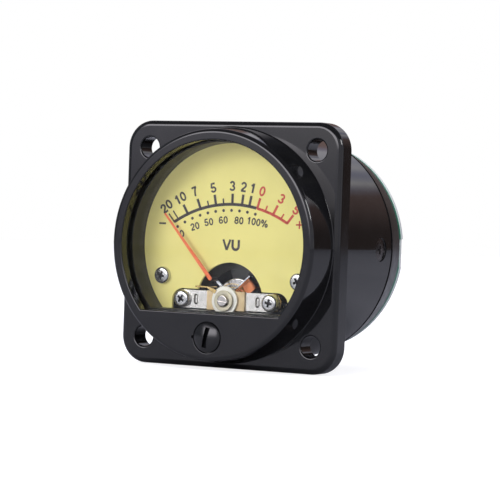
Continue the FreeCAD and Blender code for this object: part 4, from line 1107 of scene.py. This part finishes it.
def make_floor():
    """Pale round table under the part, which the camera sees as white."""
    deselect()
    bpy.ops.mesh.primitive_circle_add(vertices=96, radius=1.4, fill_type="NGON",
                                      location=(0, 0, -FLANGE_HALF - 0.1 * MM))
    table = new_piece("table_top")
    material, tree, shader = finish_base("pale_table", (0.27, 0.27, 0.31), 0.8)
    vary_color(tree, shader, noise(tree, 20), (0.26, 0.26, 0.30), (0.28, 0.28, 0.32))
    glow = add(tree, "Emission", Strength=0.8)
    both = add(tree, "AddShader")
    feed(tree, shader.outputs["BSDF"], both.inputs[0])
    feed(tree, glow.outputs["Emission"], both.inputs[1])
    camera_ray = add(tree, "LightPath").outputs["Is Camera Ray"]
    top = blend_shaders(tree, camera_ray, shader.outputs["BSDF"], both.outputs["Shader"])
    feed(tree, top, tree.nodes["Material Output"].inputs["Surface"])
    table.data.materials.append(material)


def make_world():
    """White room. In gloss it also has a bright card in front, a dark zenith, and a dark wall behind."""
    world = bpy.data.worlds.new("studio")
    bpy.context.scene.world = world
    world.use_nodes = True
    tree = world.node_tree
    tree.nodes.clear()
    direction = add(tree, "TexCoord").outputs["Generated"]
    axes = split_axes(tree, direction)

    def rise(axis, low, high):
        return graded(tree, axes[axis], low, high, kind="SMOOTHSTEP")

    def product(first, *others):
        for other in others:
            first = calc(tree, "MULTIPLY", first, other)
        return first

    patches = add(tree, "TexNoise", Scale=9, Detail=1)
    feed(tree, direction, patches.inputs["Vector"])
    room = color_ramp(tree, patches.outputs["Fac"], (0.50, 0.51, 0.68), (1.0, 0.98, 1.0), 0.36, 0.66)
    card = product(rise("Z", -0.02, 0.24), rise("Z", 0.52, 0.42), rise("X", -0.66, -0.56),
                   rise("X", 0.26, 0.14), rise("Y", 0, -0.2))
    wall = product(rise("Z", -0.022, -0.012), rise("Z", 0.44, 0.36), rise("Y", 0.35, 0.6))
    wall_tone = blend(tree, rise("Z", 0.1, 0.4), (0.10, 0.07, 0.06), (0.30, 0.20, 0.18))
    room = blend(tree, rise("X", -0.62, -0.74), room, (0.22, 0.24, 0.28))
    room = blend(tree, card, room, (6.0, 5.8, 6.2))
    room = blend(tree, rise("Z", 0.53, 0.62), room, (0.08, 0.08, 0.09))
    room = blend(tree, wall, room, wall_tone)

    fill = add(tree, "Background", Color=(0.9, 0.92, 1.0, 1))
    gloss = add(tree, "Background")
    white = add(tree, "Background", Color=(1, 1, 1, 1))
    feed(tree, room, gloss.inputs["Color"])
    paths = add(tree, "LightPath").outputs
    seen = calc(tree, "MAXIMUM", paths["Is Camera Ray"], paths["Is Transmission Ray"])
    light = blend_shaders(tree, paths["Is Glossy Ray"], fill.outputs["Background"],
                          gloss.outputs["Background"])
    light = blend_shaders(tree, seen, light, white.outputs["Background"])
    feed(tree, light, add(tree, "OutputWorld").inputs["Surface"])


def softbox(name, spot, size, power, glossy=False):
    """Rectangular studio light aimed at the part, seen in gloss only where that is asked for."""
    light = bpy.data.lights.new(name, "AREA")
    light.shape = "RECTANGLE"
    light.size, light.size_y = size
    light.energy = power
    lamp = bpy.data.objects.new(name, light)
    lamp.location = spot
    lamp.visible_glossy = glossy
    aim = Vector((2 * MM, 0, 0)) - Vector(spot)
    lamp.rotation_euler = aim.to_track_quat("-Z", "Y").to_euler()
    bpy.context.scene.collection.objects.link(lamp)


def make_camera():
    """The photograph's viewpoint: long lens, from the right and almost level."""
    azimuth, elevation, roll = (math.radians(degrees) for degrees in (29.53, 0.93, 2.02))
    distance, focal_px, image_px, sensor = 0.4015, 2222, 500, 36
    back = Vector((math.sin(azimuth) * math.cos(elevation), -math.cos(azimuth) * math.cos(elevation),
                   math.sin(elevation)))
    target = Vector((4.552, -3.75, -0.737)) * MM
    right = (-back).cross(Vector((0, 0, 1))).normalized()
    up = right.cross(-back)
    across = right * math.cos(roll) + up * math.sin(roll)
    upright = up * math.cos(roll) - right * math.sin(roll)
    lens = bpy.data.cameras.new("viewpoint")
    lens.sensor_width = sensor
    lens.lens = focal_px / image_px * sensor
    lens.clip_start = 0.01
    camera = bpy.data.objects.new("viewpoint", lens)
    turn = Matrix((across, upright, back)).transposed().to_4x4()
    camera.matrix_world = Matrix.Translation(target + back * distance) @ turn
    bpy.context.scene.collection.objects.link(camera)
    bpy.context.scene.camera = camera


make_camera()
make_world()
softbox("overhead", (-0.12, -0.15, 0.75), (0.7, 0.5), 7.0)
softbox("front_left", (-0.38, -0.86, 0.3), (0.42, 0.34), 4.5)
softbox("right_side", (0.85, 0.0, 0.46), (0.25, 0.25), 2.5, glossy=True)
make_floor()
make_case()
make_adjuster()
make_pan_screws()
make_side_screws()
make_needle()
make_bush_parts()
make_bridge()
make_eased()
make_axial("diode_row", "diodes", "diode_glass", diode_amber, DIODE_ROWS, 0.95, 4, 7.6,
           [(1.3, 0.6, band_black)])
make_axial("resistor_tube", "lamp_resistor", "resistor_body", ceramic_tan, [RESISTOR_ROW], 1.2, 6.3, 10.2,
           [(2.0, 0.55, band_brown), (0.9, 0.55, band_black), (-0.2, 0.55, band_brown),
            (-1.9, 0.55, band_gold)])
make_studs()
make_solder()
make_tracks()
dress_cad()
make_print()
